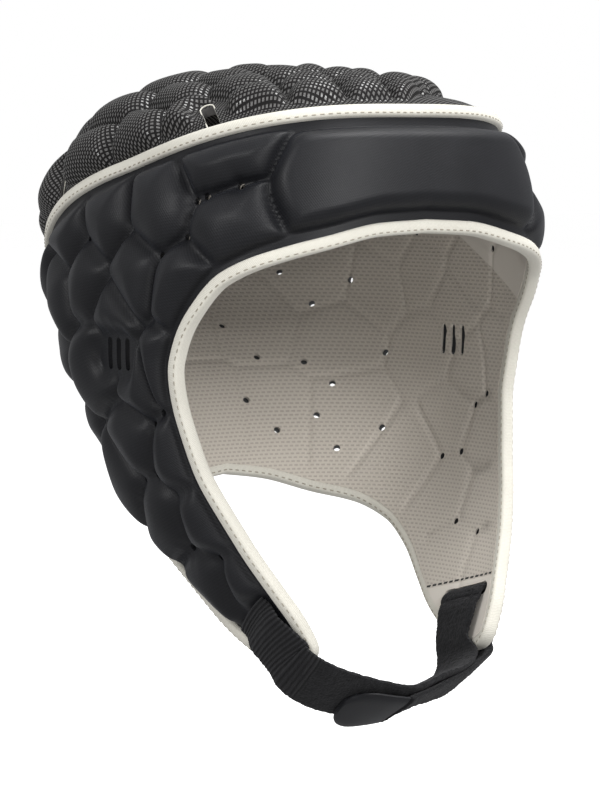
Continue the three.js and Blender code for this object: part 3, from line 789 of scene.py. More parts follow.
@dataclass
class Lining:
    """Grey lining cloth inside the pads."""

    layout: CapLayout
    lines: int = 620
    rows: int = 84
    outer_rows: int = 16

    def build(self) -> bpy.types.Object:
        """Make the lining, with the pads' outlines faint on it.

        Returns:
            The piece.
        """
        layout = self.layout
        turn, z = layout.spots(self.lines, np.linspace(0, 1, self.rows), 1.0, 1.0)
        seeds, push = layout.seeds()
        spots = layout.form.point(turn, z)
        depth = np.array([bisector_depth(row, seeds, push, 0.8) for row in spots])
        edge = np.array([distance_to(row, layout.outline()) for row in spots])
        crease = 0.6 * np.exp(-(depth / 1.1) ** 2) * smoothstep((edge - 3.5) / 5)
        inner = layout.form.wall(turn, z, crease)
        back = layout.spots(self.lines, np.linspace(1, 0, self.outer_rows), 1.0, 1.0)
        outer = layout.form.wall(*back, np.full(back[0].shape, 1.2))
        points = np.concatenate([inner, outer])
        flat = np.concatenate([np.stack([turn * 1.3, z], -1), np.stack([back[0] * 1.3, back[1]], -1)])
        piece = lattice("lining_cloth", points, flat, Wrap.BOTH)
        punch(piece, layout.vents() + layout.ear_slots() + [layout.strap.slot])
        return piece


@dataclass
class Crown:
    """Domed top: net over padding, with four notches for air."""

    layout: CapLayout
    columns: int = 520
    rows: int = 110
    inner_rows: int = 30
    pad_height: float = 7.2
    groove: float = 1.6
    notch_width: float = 5.0
    notch_length: float = 16.0
    front_fade: float = 0.20
    front_margin: float = 20.0
    notch_lean: float = 6.0
    notch_clearing: float = 3.5
    edging_radius: float = 0.26
    edging_lift: float = 0.3

    def rim(self, turn: Array, inset: float, offset: float) -> Array:
        """Give the ring on which the crown meets its tape."""
        form = self.layout.form
        spot = form.inset(turn, form.seam_z(turn), inset)
        return form.wall(*spot, offset)

    def surface(self, turn: Array, share: Array, offset: Array, low: float = 2.6) -> Array:
        """Lay points on the crown, bent down to the tape near its rim.

        Args:
            turn: Degrees from the front, one per column.
            share: Shares of a quarter turn from the middle to the rim, one per row.
            offset: Distances outside the crown's inside, by row and column.
            low: Distance of the rim outside the head form.

        Returns:
            The points, by row and column.
        """
        form = self.layout.form
        out = np.sin(share * math.pi / 2)[:, None]
        turns, outs = np.broadcast_arrays(turn[None], out)
        normal = form.crown_outward(turns, outs)
        normal[outs < 0.01] = (0, 0, 1)
        free = form.crown(turns, outs) + normal * offset[..., None]
        base = self.rim(turn, 1.2, low)[None]
        fade = 0.14 + self.front_fade * smoothstep((np.cos(np.radians(turn)) - 0.1) / 0.6)
        weight = smoothstep((share[:, None] - 1 + fade) / fade)[..., None]
        lifted = base + normal * np.maximum(offset - 3.3, 0)[..., None]
        return free * (1 - weight) + lifted * weight

    @staticmethod
    def flat(points: Array) -> Array:
        """Unroll the crown round its middle.

        Args:
            points: Points, by row from the middle and by column.

        Returns:
            Flat coordinates in millimetres, by row and column.
        """
        steps = np.linalg.norm(np.diff(points, axis=0), axis=-1)
        length = np.concatenate([np.zeros((1, points.shape[1])), np.cumsum(steps, axis=0)])
        around = np.arctan2(points[..., 1], points[..., 0])
        around[0] = around[1]
        return np.stack([length * np.cos(around), length * np.sin(around)], -1)

    def seeds(self) -> Array:
        """Give the middles of the crown's pads."""
        form = self.layout.form
        fine = np.sin(np.linspace(0, 1, 200) * math.pi / 2)
        found = []
        for share, count, first in CROWN_RINGS:
            for turn in first + np.arange(count) * 360 / count:
                path = form.crown(turn, fine)
                steps = np.linalg.norm(np.diff(path, axis=0), axis=1)
                length = np.concatenate([[0], np.cumsum(steps)])
                found.append(path[np.searchsorted(length, share * length[-1])])
        return np.array(found)

    def notches(self) -> list[Hole]:
        """Give the four notches, open down to the tape."""
        form = self.layout.form
        found = []
        for turn in CROWN_VENT_TURNS:
            rim = self.rim(np.array([turn - 1.0, turn, turn + 1.0]), 2.0, 2.6)[1]
            shares = np.linspace(0.5, 1, 60)
            back = turn + math.copysign(self.notch_lean, 180 - turn)
            path = self.surface(np.array([back]), shares, np.full((60, 1), 3.3))[:, 0]
            away = np.linalg.norm(path - rim, axis=1)
            top = path[np.argmin(np.abs(away - self.notch_length))]
            axis = form.crown_outward(np.array([float(turn)]), np.array([0.93]))[0]
            found.append(Hole(top, rim, axis, self.notch_width / 2, 14.0))
        return found

    def relief(self, points: Array, rim: Array, notches: list[Hole]) -> Array:
        """Work out how far the padding lifts the net.

        Args:
            points: Points of one row.
            rim: Closely spaced points of the rim.
            notches: The notches.

        Returns:
            The lift in millimetres.
        """
        seeds = self.seeds()
        cell = bisector_depth(points, seeds, np.zeros(len(seeds)), 1.0) - self.groove / 2
        ahead = smoothstep(-points[:, 1] / 45) * (0.25 + 0.75 * smoothstep(points[:, 0] / 35))
        parts = [cell, distance_to(points, rim) - 1.0 - self.front_margin * ahead]
        parts += [notch.off(points)[1] - notch.radius - self.notch_clearing for notch in notches]
        stacked = np.clip(np.stack(parts), -60, 60)
        depth = -1.2 * np.log(np.exp(-stacked / 1.2).sum(0))
        return self.pad_height * dome(depth, 9.5, 0.6)

    def build(self) -> bpy.types.Object:
        """Make the crown.

        Returns:
            The piece.
        """
        turn = np.arange(self.columns) * 360 / self.columns
        share = np.linspace(0, 1, self.rows)
        base = self.surface(turn, share, np.full((self.rows, self.columns), 3.3))
        notches = self.notches()
        rim = self.rim(turn, 1.2, 2.6)
        lift = soften(np.array([self.relief(row, rim, notches) for row in base]))
        outer = self.surface(turn, share, 3.3 + lift)
        back = np.linspace(1, 0, self.inner_rows)
        inner = self.surface(turn, back, np.zeros((self.inner_rows, self.columns)), 0.8)
        flat = np.concatenate([self.flat(base), self.flat(inner[::-1])[::-1]])
        piece = lattice("crown_net", np.concatenate([outer, inner]), flat, Wrap.AROUND)
        punch(piece, notches)
        return piece

    def edging(self) -> bpy.types.Object:
        """Make the pale thread round each notch.

        Returns:
            The piece.
        """
        pieces = []
        for notch in self.notches():
            up = unit(notch.start - notch.end)
            side = unit(np.cross(notch.axis, up))
            out = np.cross(up, side)
            reach = notch.radius + self.edging_radius / 2
            angle = np.linspace(0, math.pi, 17)[:, None]
            arc = notch.start + reach * (np.cos(angle) * side + np.sin(angle) * up)
            share = np.linspace(1, 0, 12, endpoint=False)[:, None]
            leg = (notch.end - notch.start) * share
            path = np.concatenate([notch.start + reach * side + leg, arc,
                                   notch.start - reach * side + leg[::-1]])
            pieces.append(tube("notch_edging", path + out * self.edging_lift, self.edging_radius))
        return merged(pieces)


def tube(name: str, path: Array, radius: float, sides: int = 8) -> bpy.types.Object:
    """Sweep a round thread along an open path.

    Args:
        name: The piece's name.
        path: Points of its middle.
        radius: Its radius.
        sides: Faces round it.

    Returns:
        The piece.
    """
    along = unit(np.gradient(path, axis=0))
    side = unit(np.cross(along, unit(path) + 1e-3))
    up = np.cross(side, along)
    angle = (np.arange(sides) * TAU / sides)[None, :, None]
    points = path[:, None] + radius * (np.cos(angle) * side[:, None] + np.sin(angle) * up[:, None])
    piece = lattice(name, points, points[..., :2], Wrap.AROUND)
    close_ends(piece)
    return piece


def close_ends(piece: bpy.types.Object) -> None:
    """Close the open ends of a swept piece.

    Args:
        piece: The mesh object.
    """
    edit(piece)
    bpy.ops.mesh.select_all(action="DESELECT")
    bpy.ops.mesh.select_non_manifold()
    bpy.ops.mesh.fill_holes(sides=0)
    bpy.ops.mesh.select_all(action="SELECT")
    bpy.ops.mesh.normals_make_consistent(inside=False)
    bpy.ops.object.mode_set(mode="OBJECT")
    bpy.ops.object.shade_smooth_by_angle(angle=math.radians(50))


def merged(pieces: list[bpy.types.Object]) -> bpy.types.Object:
    """Make one object of several.

    Args:
        pieces: The mesh objects.

    Returns:
        The joined object.
    """
    deselect()
    for piece in pieces:
        piece.select_set(True)
    bpy.context.view_layer.objects.active = pieces[0]
    bpy.ops.object.join()
    return bpy.context.object


@dataclass
class Tape:
    """Woven tape folded over an edge."""

    name: str
    layout: CapLayout
    around: int = 16

    def build(self, turn: Array, z: Array) -> bpy.types.Object:
        """Make the tape along a loop of spots.

        Args:
            turn: Degrees from the front, round the loop.
            z: Heights.

        Returns:
            The piece.
        """
        layout = self.layout
        middle = layout.form.wall(turn, z, layout.binding_thickness / 2 + 0.1)
        out = layout.form.outward(turn, z)
        along = unit(np.roll(middle, -1, axis=0) - np.roll(middle, 1, axis=0))
        side = unit(np.cross(along, out))
        angle = np.arange(self.around) * 2 * math.pi / self.around
        power = 0.55
        a = np.sign(np.cos(angle)) * np.abs(np.cos(angle)) ** power * layout.binding_width / 2
        b = np.sign(np.sin(angle)) * np.abs(np.sin(angle)) ** power * layout.binding_thickness / 2
        points = middle[None] + a[:, None, None] * side[None] + b[:, None, None] * out[None]
        steps = np.linalg.norm(np.diff(middle, axis=0), axis=1)
        length = np.concatenate([[0], np.cumsum(steps)])
        flat = np.empty((self.around, len(turn), 2))
        flat[..., 0] = length[None]
        flat[..., 1] = (angle / (2 * math.pi) * 20)[:, None]
        return lattice(self.name, points, flat, Wrap.BOTH)


@dataclass
class Thread:
    """Row of stitches along a tape, on its outer and inner face."""

    layout: CapLayout
    radius: float = 0.26
    pitch: float = 3.0
    dip: float = 0.5
    share: float = 0.55
    sides: int = 5

    def build(self, name: str, turn: Array, z: Array) -> bpy.types.Object:
        """Sew along a loop of spots.

        Args:
            name: The piece's name.
            turn: Degrees from the front, round the loop.
            z: Heights.

        Returns:
            The piece.
        """
        layout = self.layout
        half = layout.binding_thickness / 2
        middle = layout.form.wall(turn, z, half + 0.1)
        out = layout.form.outward(turn, z)
        along = unit(np.roll(middle, -1, axis=0) - np.roll(middle, 1, axis=0))
        side = unit(np.cross(along, out))
        middle = middle + side * layout.binding_width / 2 * self.share
        steps = np.linalg.norm(np.roll(middle, -1, axis=0) - middle, axis=1)
        length = np.concatenate([[0], np.cumsum(steps)])
        count = round(length[-1] / self.pitch)
        wave = np.cos(length[:-1] / length[-1] * count * TAU)
        lift = half * 0.9 + self.dip * np.clip(wave * 1.4, -1, 0.15)
        angle = np.arange(self.sides)[:, None, None] * TAU / self.sides
        rows = []
        for face in (1, -1):
            line = middle + out * (lift * face)[:, None]
            rows.append(line + self.radius * (np.cos(angle) * side + np.sin(angle) * out))
        pieces = []
        for points in rows:
            flat = np.zeros(points.shape[:2] + (2,))
            flat[..., 0] = length[None, :-1]
            flat[..., 1] = angle[:, :, 0] * self.radius
            pieces.append(lattice(name, points, flat, Wrap.BOTH))
        return merged(pieces)


@dataclass
class Strap:
    """Chin strap of loop cloth with its smooth tab."""

    layout: CapLayout
    width: float = 25.0
    thickness: float = 2.4
    gap: float = 0.7
    tilt: float = 16.0
    layer_gap: float = 1.2
    slot_height: float = 5.6
    chin_drop: float = 17.0
    chin_forward: float = 10.0
    chin_power: float = 2.4
    right_power: float = 1.85
    tab_length: float = 24.0
    tab_past_chin: float = 26.0
    flap_end: float = 22.0
    stations: int = 17
    lean: float = 26.0
    twist: float = 26.0
    twist_shares: tuple[float, ...] = (0.95, 1.0, 1.0, 0.8, 0.42)
    upper_twists: tuple[float, ...] = (0.0, 3.0, 7.0, 10.0)
    lower_twists: tuple[float, ...] = (9.0, 18.0, 16.0, 12.0)
    steps: tuple[int, ...] = (14, 32, 50, 70)
    pile: float = 0.4

    def __post_init__(self) -> None:
        """Work out directions and the distances from the flap."""
        tilt = math.radians(self.tilt)
        self.across = np.array([0, -math.cos(tilt), math.sin(tilt)])
        self.down = np.array([0, -math.sin(tilt), -math.cos(tilt)])
        self.inside = -self.gap - self.thickness / 2
        self.under = self.inside - 1
        self.outside = self.layout.wall + self.gap + self.thickness / 2
        binding = self.layout.binding_thickness
        self.over = binding / 2 + 0.1 + (binding + self.thickness) / 2 + self.gap
        self.low_drop = self.chin_drop + self.thickness + self.layer_gap

    def flap_row(self, length: float, offset: float, width: float = 0.0,
                 lean: float = 0.0) -> Array:
        """Give points across the strap where it lies along the left flap.

        Args:
            length: Distance down from the slot.
            offset: Distance outside the head form.
            width: Width of the row, or 0 for the strap's own.
            lean: Degrees that the strap is turned forward about the slot.

        Returns:
            The points.
        """
        share = np.linspace(-0.5, 0.5, self.stations) * (width or self.width)
        angle = math.radians(lean)
        down = self.down * math.cos(angle) + self.across * math.sin(angle)
        across = self.across * math.cos(angle) - self.down * math.sin(angle)
        move = down * length + share[:, None] * across
        turn, level = self.layout.slot_anchor
        spot = self.layout.form.slide(turn, -level * self.layout.form.depth, move)
        return self.layout.form.wall(*spot, offset)

    def chin_row(self, start: Array, drop: float, around: float, width: float = 0.0,
                 twist: float = 0.0) -> Array:
        """Give points across the strap where it hangs under the chin.

        Args:
            start: Middle of the row at the flap.
            drop: How far the strap hangs below it.
            around: Degrees from the flap, with 90 under the chin.
            width: Width of the row, or 0 for the strap's own.
            twist: Degrees that the front edge is turned up.

        Returns:
            The points.
        """
        power = 2 / (self.chin_power if start[0] > 0 else self.right_power)
        sine, cosine = math.sin(math.radians(around)), max(math.cos(math.radians(around)), 0)
        middle = start + self.down * drop * sine ** power + self.across * self.chin_forward * sine
        middle[0] = start[0] * cosine ** power
        share = np.linspace(-0.5, 0.5, self.stations) * (width or self.width)
        turn = math.radians(twist)
        across = self.across * math.cos(turn) - self.down * math.sin(turn)
        return middle + share[:, None] * across

    def turned(self, around: float) -> float:
        """Give the degrees that the strap is twisted on the right of the chin.

        Args:
            around: Degrees from the right flap, with 90 under the chin.

        Returns:
            The twist.
        """
        return self.twist * float(np.interp(around, self.steps + (90,), self.twist_shares))

    def low_row(self, past: float, width: float = 0.0) -> Array:
        """Give points across the lower layer past the chin.

        Args:
            past: Distance from the middle of the chin to the right.
            width: Width of the row, or 0 for the strap's own.

        Returns:
            The points.
        """
        row = self.flap_row(self.flap_end, self.over + self.thickness + self.layer_gap)
        start = row[self.stations // 2] * (-1, 1, 1)
        share = (past / -start[0]) ** (self.right_power / 2)
        around = 90 - math.degrees(math.asin(share))
        return self.chin_row(start, self.low_drop, around, width, self.turned(around))

    def room(self) -> StrapRoom:
        """Give the slot, and points of the head form under the strap on both flaps."""
        lengths = np.linspace(-self.slot_height / 2, self.flap_end, 9)
        left = np.concatenate([self.flap_row(length, 0.0) for length in lengths])
        right = np.concatenate([self.flap_row(length, 0.0, lean=self.lean) for length in lengths])
        return StrapRoom(self.slot(), np.concatenate([left, right * (-1, 1, 1)]))

    def path(self) -> Array:
        """Give the rows of the whole strap, from its sewn end to its tab."""
        mirror = (-1, 1, 1)
        over = [self.flap_row(length, self.over) for length in (7, 14, self.flap_end)]
        sewn = [self.flap_row(length, offset, lean=self.lean) * mirror for length, offset in
                ((-self.slot_height / 2, self.outside), (1.5, self.outside),
                 (7, self.over), (14, self.over), (self.flap_end, self.over))]
        pairs = ((self.flap_end, self.under), (14, self.under), (8, self.under), (4, self.inside))
        inside = [self.flap_row(length, offset) for length, offset in pairs]
        fold = (self.outside - self.inside) / 2
        rim = self.slot_height / 2 - 0.4
        turns = []
        for around in (0, 45, 90, 135, 180):
            sine, cosine = math.sin(math.radians(around)), math.cos(math.radians(around))
            turns.append(self.flap_row(rim - fold * sine, self.inside + fold * (1 - cosine)))
        low = over[-1][self.stations // 2]
        right = sewn[-1][self.stations // 2]
        left = inside[0][self.stations // 2]
        rows = list(sewn)
        for step in self.steps + (90,):
            away = math.sin(math.radians(step)) ** 2
            start = right * (1 - away) + low * mirror * away
            rows.append(self.chin_row(start, self.chin_drop, step, 0.0, self.turned(step)))
        upper = [self.chin_row(left, self.chin_drop, step, 0.0, twist)
                 for step, twist in zip(self.steps, self.upper_twists)]
        rows += upper[::-1] + inside + turns + over
        for step, twist in zip(self.steps, self.lower_twists):
            away = math.sin(math.radians(step))
            rows.append(self.chin_row(low * (1 - away) + left * away, self.low_drop, step, 0.0, twist))
        rows.append(self.chin_row(low, self.low_drop, 90, 0.0, self.turned(90)))
        rows.append(self.low_row(self.tab_past_chin - self.tab_length))
        return np.array(rows)

    @staticmethod
    def smooth(rows: Array, parts: int) -> Array:
        """Add rows between rows, on a smooth curve through them.

        Args:
            rows: Rows of points.
            parts: How many parts each step is cut into.

        Returns:
            The finer rows.
        """
        ends = np.concatenate([2 * rows[:1] - rows[1:2], rows, 2 * rows[-1:] - rows[-2:-1]])
        fine = []
        for i in range(1, len(ends) - 2):
            a, b, c, d = ends[i - 1:i + 3]
            for t in np.arange(parts) / parts:
                near = 2 * b + (c - a) * t + (2 * a - 5 * b + 4 * c - d) * t * t
                fine.append(0.5 * (near + (3 * b - a - 3 * c + d) * t ** 3))
        fine.append(rows[-1])
        return np.array(fine)

    def band(self, name: str, rows: Array, pile: float) -> bpy.types.Object:
        """Give rows of points the thickness of the strap, with rounded sides.

        Args:
            name: The piece's name.
            rows: Rows of points.
            pile: Height of the loops that stand up from it.

        Returns:
            The piece.
        """
        along = np.gradient(rows, axis=0)
        wide = (rows[:, -1] - rows[:, 0])[:, None]
        out = unit(np.cross(along, wide))
        share = np.linspace(-1, 1, self.stations)
        thick = self.thickness / 2 * (1 - np.abs(share) ** 8 * 0.75)
        lift = out * thick[None, :, None]
        fuzz = np.random.default_rng(7).random((2,) + rows.shape[:2] + (1,)) * pile * out
        ring = np.concatenate([rows - lift - fuzz[0], (rows + lift + fuzz[1])[:, ::-1]], axis=1)
        steps = np.linalg.norm(np.diff(rows[:, self.stations // 2], axis=0), axis=1)
        length = np.concatenate([[0], np.cumsum(steps)])
        flat = np.empty(ring.shape[:2] + (2,))
        flat[..., 0] = length[:, None]
        flat[..., 1] = np.arange(ring.shape[1])[None] * 60 / ring.shape[1]
        piece = lattice(name, ring, flat, Wrap.AROUND)
        close_ends(piece)
        return piece

    def build(self) -> tuple[bpy.types.Object, bpy.types.Object]:
        """Make the strap and its tab.

        Returns:
            The strap and the tab.
        """
        strap = self.band("chin_strap_cloth", self.smooth(self.path(), 12), self.pile)
        start = self.tab_past_chin - self.tab_length + self.layer_gap
        length = self.tab_past_chin - start
        outline = ((0, 1), (0.3, 1), (0.6, 0.98), (0.8, 0.86), (0.93, 0.64), (1, 0.36))
        rows = np.array([self.low_row(start + share * length, width * self.width)
                         for share, width in outline])
        return strap, self.band("strap_tab_cloth", self.smooth(rows, 5), 0.0)

    def slot(self) -> Hole:
        """Give the slot in the left flap."""
        turn, level = self.layout.slot_anchor
        z = -level * self.layout.form.depth
        middle, out = self.layout.form.point(turn, z), self.layout.form.outward(turn, z)
        half = (self.width + 2 - self.slot_height) / 2
        reach = self.across * half
        return Hole(middle - reach, middle + reach, out, self.slot_height / 2)


class Shade:
    """One socket of a shader, with arithmetic that adds Math nodes."""

    def __init__(self, graph: "Graph", socket: bpy.types.NodeSocket) -> None:
        """Keep a socket and the graph that it is in."""
        self.graph = graph
        self.socket = socket

    def _math(self, operation: str, first: Any, second: Any) -> "Shade":
        """Add a Math node."""
        return self.graph.node("ShaderNodeMath", {"operation": operation}, {0: first, 1: second})

    def __add__(self, other: Any) -> "Shade":
        """Add."""
        return self._math("ADD", self, other)

    __radd__ = __add__

    def __sub__(self, other: Any) -> "Shade":
        """Subtract."""
        return self._math("SUBTRACT", self, other)

    def __rsub__(self, other: Any) -> "Shade":
        """Subtract from a number."""
        return self._math("SUBTRACT", other, self)

    def __mul__(self, other: Any) -> "Shade":
        """Multiply."""
        return self._math("MULTIPLY", self, other)

    __rmul__ = __mul__

    def __truediv__(self, other: Any) -> "Shade":
        """Divide."""
        return self._math("DIVIDE", self, other)

    def op(self, operation: str, other: Any = 0.0) -> "Shade":
        """Apply any other Math operation."""
        return self._math(operation, self, other)

    def ease(self, low: float, high: float, start: float = 0.0, end: float = 1.0) -> "Shade":
        """Ease from one value to another between two places.

        Args:
            low: Where the step starts.
            high: Where it ends.
            start: Value before it.
            end: Value after it.

        Returns:
            The eased value.
        """
        settings = {"interpolation_type": "SMOOTHSTEP"}
        links = {"Value": self, 1: low, 2: high, 3: start, 4: end}
        return self.graph.node("ShaderNodeMapRange", settings, links)


class Graph:
    """A material's nodes."""

    def __init__(self, name: str) -> None:
        """Start an empty material.

        Args:
            name: The material's name.
        """
        self.material = bpy.data.materials.new(name)
        self.material.use_nodes = True
        self.tree = self.material.node_tree
        self.tree.nodes.clear()

    def node(self, kind: str, settings: dict[str, Any] | None = None,
             links: dict[Any, Any] | None = None, out: Any = 0) -> Shade:
        """Add a node.

        Args:
            kind: The node's type.
            settings: Its own settings, set first. stops gives a ramp's places and colours.
            links: Values or links of its sockets.
            out: The output to hand back.

        Returns:
            The output.
        """
        node = self.tree.nodes.new(kind)
        for name, value in (settings or {}).items():
            if name == "stops":
                elements = node.color_ramp.elements
                while len(elements) < len(value):
                    elements.new(1.0)
                for element, (at, colour) in zip(elements, value):
                    element.position = at
                    element.color = (*colour, 1.0)
            else:
                setattr(node, name, value)
        for name, value in (links or {}).items():
            if isinstance(value, Shade):
                self.tree.links.new(value.socket, node.inputs[name])
            elif isinstance(value, tuple) and len(value) == 3 and node.inputs[name].type == "RGBA":
                node.inputs[name].default_value = (*value, 1.0)
            else:
                node.inputs[name].default_value = value
        return Shade(self, node.outputs[out])

    def flat(self) -> tuple[Shade, Shade]:
        """Give the cloth's flat coordinates in millimetres.

        Returns:
            The coordinate along and the one across.
        """
        uv = self.node("ShaderNodeTexCoord", out="UV")
        split = self.node("ShaderNodeSeparateXYZ", links={0: uv})
        node = split.socket.node
        return Shade(self, node.outputs[0]), Shade(self, node.outputs[1])

    def place(self) -> Shade:
        """Give the place in the object, in metres."""
        return self.node("ShaderNodeTexCoord", out="Object")

    def noise(self, size: float, detail: float = 2.0) -> Shade:
        """Give soft noise from 0 to 1.

        Args:
            size: Size of its spots in millimetres.
            detail: How many finer layers it has.

        Returns:
            The noise.
        """
        links = {"Vector": self.place(), "Scale": 1 / (size * MM), "Detail": detail}
        return self.node("ShaderNodeTexNoise", None, links)

    def mix(self, factor: Any, first: Any, second: Any) -> Shade:
        """Mix two colours.

        Args:
            factor: Share of the second.
            first: The first colour.
            second: The second colour.

        Returns:
            The mixed colour.
        """
        links = {0: factor, 6: first, 7: second}
        return self.node("ShaderNodeMix", {"data_type": "RGBA"}, links, 2)

    def bump(self, height: Shade, strength: float, distance: float) -> Shade:
        """Turn a height into a normal.

        Args:
            height: The height from 0 to 1.
            strength: Strength of the effect.
            distance: What 1 means, in millimetres.

        Returns:
            The normal.
        """
        links = {"Strength": strength, "Distance": distance * MM, "Height": height}
        return self.node("ShaderNodeBump", None, links)

    def finish(self, links: dict[Any, Any]) -> bpy.types.Material:
        """Close the material with a Principled shader.

        Args:
            links: Values or links of the shader's sockets.

        Returns:
            The material.
        """
        shader = self.node("ShaderNodeBsdfPrincipled", None, links)
        self.node_out(shader)
        return self.material

    def node_out(self, shader: Shade) -> None:
        """Link a shader to the output."""
        output = self.tree.nodes.new("ShaderNodeOutputMaterial")
        self.tree.links.new(shader.socket, output.inputs[0])


@dataclass(frozen=True)
class StretchCloth:
    """Black stretch knit with a fine slanted rib."""

    name: str = "stretch_cloth"
    dark: tuple[float, float, float] = (0.0050, 0.0052, 0.0062)
    light: tuple[float, float, float] = (0.0135, 0.0138, 0.0165)
    rib: float = 0.75

    def build(self) -> bpy.types.Material:
        """Make the material.

        Returns:
            The material.
        """
        g = Graph(self.name)
        along, across = g.flat()
        rib = ((along + across * 0.6) * (TAU / self.rib)).op("SINE") * 0.5 + 0.5
        stitch = ((across - along * 0.25) * (TAU / (self.rib * 1.3))).op("SINE") * 0.5 + 0.5
        knit = rib * 0.65 + stitch * 0.35
        spots = g.noise(14.0, 3.0)
        fine = g.noise(0.5, 1.0)
        tone = (knit * 0.5 + fine * 0.35 + spots * 0.3).ease(0.25, 0.95)
        colour = g.mix(tone, self.dark, self.light)
        rough = spots * 0.12 + 0.42
        return g.finish({
            "Base Color": colour, "Roughness": rough, "Specular IOR Level": 0.23,
            "Sheen Weight": 0.04, "Sheen Roughness": 0.4, "Sheen Tint": (0.6, 0.65, 0.8, 1.0),
            "Normal": g.bump(knit * 0.6 + fine * 0.4, 0.5, 0.12),
        })


@dataclass(frozen=True)
class LiningCloth:
    """Warm grey open knit with rows of short dashes, and smooth panels at brow and flaps."""

    name: str = "lining_cloth"
    ground: tuple[float, float, float] = (0.56, 0.515, 0.455)
    dash: tuple[float, float, float] = (0.36, 0.325, 0.285)
    smooth: tuple[float, float, float] = (0.68, 0.64, 0.58)
    seam: tuple[float, float, float] = (0.02, 0.02, 0.02)
    pitch: float = 2.4
    row_height: float = 1.5

    def panels(self, g: Graph) -> tuple[Shade, Shade]:
        """Mark the smooth panels and the stitches above the flaps' panels.

        Args:
            g: The material's nodes.

        Returns:
            The share of smooth panel and the share of stitch.
        """
        split = g.node("ShaderNodeSeparateXYZ", links={0: g.place()})
        y = Shade(g, split.socket.node.outputs[1]) * (1 / MM)
        z = Shade(g, split.socket.node.outputs[2]) * (1 / MM)
        brow = (z - y * 0.6).ease(-48.7, -48.1)
        below = z + y * 0.25
        flap = below.ease(-201.6, -201.0, 1.0, 0.0)
        line = (below + 200.4).op("ABSOLUTE").ease(0.3, 0.5, 1.0, 0.0)
        dashes = (y / 3.0).op("FRACT").ease(0.64, 0.72, 1.0, 0.0)
        return brow.op("MAXIMUM", flap), line * dashes

    def build(self) -> bpy.types.Material:
        """Make the material.

        Returns:
            The material.
        """
        g = Graph(self.name)
        along, across = g.flat()
        row = (across / self.row_height).op("FLOOR")
        shift = (row * 0.5).op("FRACT") * self.pitch
        u = ((along + shift) / self.pitch).op("FRACT")
        v = (across / self.row_height).op("FRACT")
        wide = (u - 0.5).op("ABSOLUTE").ease(0.26, 0.38, 1.0, 0.0)
        tall = (v - 0.5).op("ABSOLUTE").ease(0.16, 0.30, 1.0, 0.0)
        panel, stitch = self.panels(g)
        mark = wide * tall * (1 - panel)
        soft = g.noise(30.0, 2.0)
        knit = g.mix(mark * 0.65 + (soft - 0.5) * 0.3, self.ground, self.dash)
        colour = g.mix(stitch, g.mix(panel * 0.8, knit, self.smooth), self.seam)
        return g.finish({
            "Base Color": colour, "Roughness": 0.88, "Specular IOR Level": 0.25,
            "Sheen Weight": 0.15, "Sheen Roughness": 0.5,
            "Normal": g.bump(1 - mark - stitch * 0.5, 0.5, 0.25),
        })


@dataclass(frozen=True)
class CrownNet:
    """Dark diamond net over pale shiny padding."""

    name: str = "crown_net"
    strand: tuple[float, float, float] = (0.0045, 0.0042, 0.0042)
    padding: tuple[float, float, float] = (0.105, 0.102, 0.100)
    wide: float = 2.3
    tall: float = 1.7

    def build(self) -> bpy.types.Material:
        """Make the material.

        Returns:
            The material.
        """
        g = Graph(self.name)
        along, across = g.flat()
        first = (along / self.wide + across / self.tall).op("FRACT")
        second = (along / self.wide - across / self.tall).op("FRACT")
        edge_one = (first - 0.5).op("ABSOLUTE")
        edge_two = (second - 0.5).op("ABSOLUTE")
        hole = edge_one.op("MAXIMUM", edge_two).ease(0.20, 0.34, 1.0, 0.0)
        colour = g.mix(hole, self.strand, self.padding)
        return g.finish({
            "Base Color": colour, "Roughness": 0.72 - hole * 0.44,
            "Specular IOR Level": hole * 0.45 + 0.2,
            "Normal": g.bump(1 - hole, 0.7, 0.3),
        })


@dataclass(frozen=True)
class TapeCloth:
    """Ivory woven tape with a row of stitches."""

    name: str = "edge_tape"
    ground: tuple[float, float, float] = (0.70, 0.68, 0.61)
    shade: tuple[float, float, float] = (0.50, 0.48, 0.42)

    def build(self) -> bpy.types.Material:
        """Make the material.

        Returns:
            The material.
        """
        g = Graph(self.name)
        along, across = g.flat()
        rib = ((along + across * 0.4) * (TAU / 0.6)).op("SINE") * 0.5 + 0.5
        thread = g.noise(0.6, 1.0)
        tone = rib * 0.22 + thread * 0.22 + g.noise(20.0) * 0.2
        colour = g.mix(tone.ease(0.1, 0.6), self.ground, self.shade)
        return g.finish({
            "Base Color": colour, "Roughness": 0.85, "Specular IOR Level": 0.2,
            "Sheen Weight": 0.2, "Sheen Roughness": 0.5,
            "Normal": g.bump(rib * 0.6 + thread * 0.4, 0.4, 0.12),
        })


@dataclass(frozen=True)
class Yarn:
    """Sewing thread of the tapes."""

    name: str = "tape_stitches"
    colour: tuple[float, float, float] = (0.36, 0.33, 0.27)

    def build(self) -> bpy.types.Material:
        """Make the material.

        Returns:
            The material.
        """
        g = Graph(self.name)
        twist = g.noise(0.5, 1.0)
        colour = g.mix(twist * 0.5, self.colour, (0.22, 0.20, 0.16))
        return g.finish({"Base Color": colour, "Roughness": 0.7, "Specular IOR Level": 0.3})


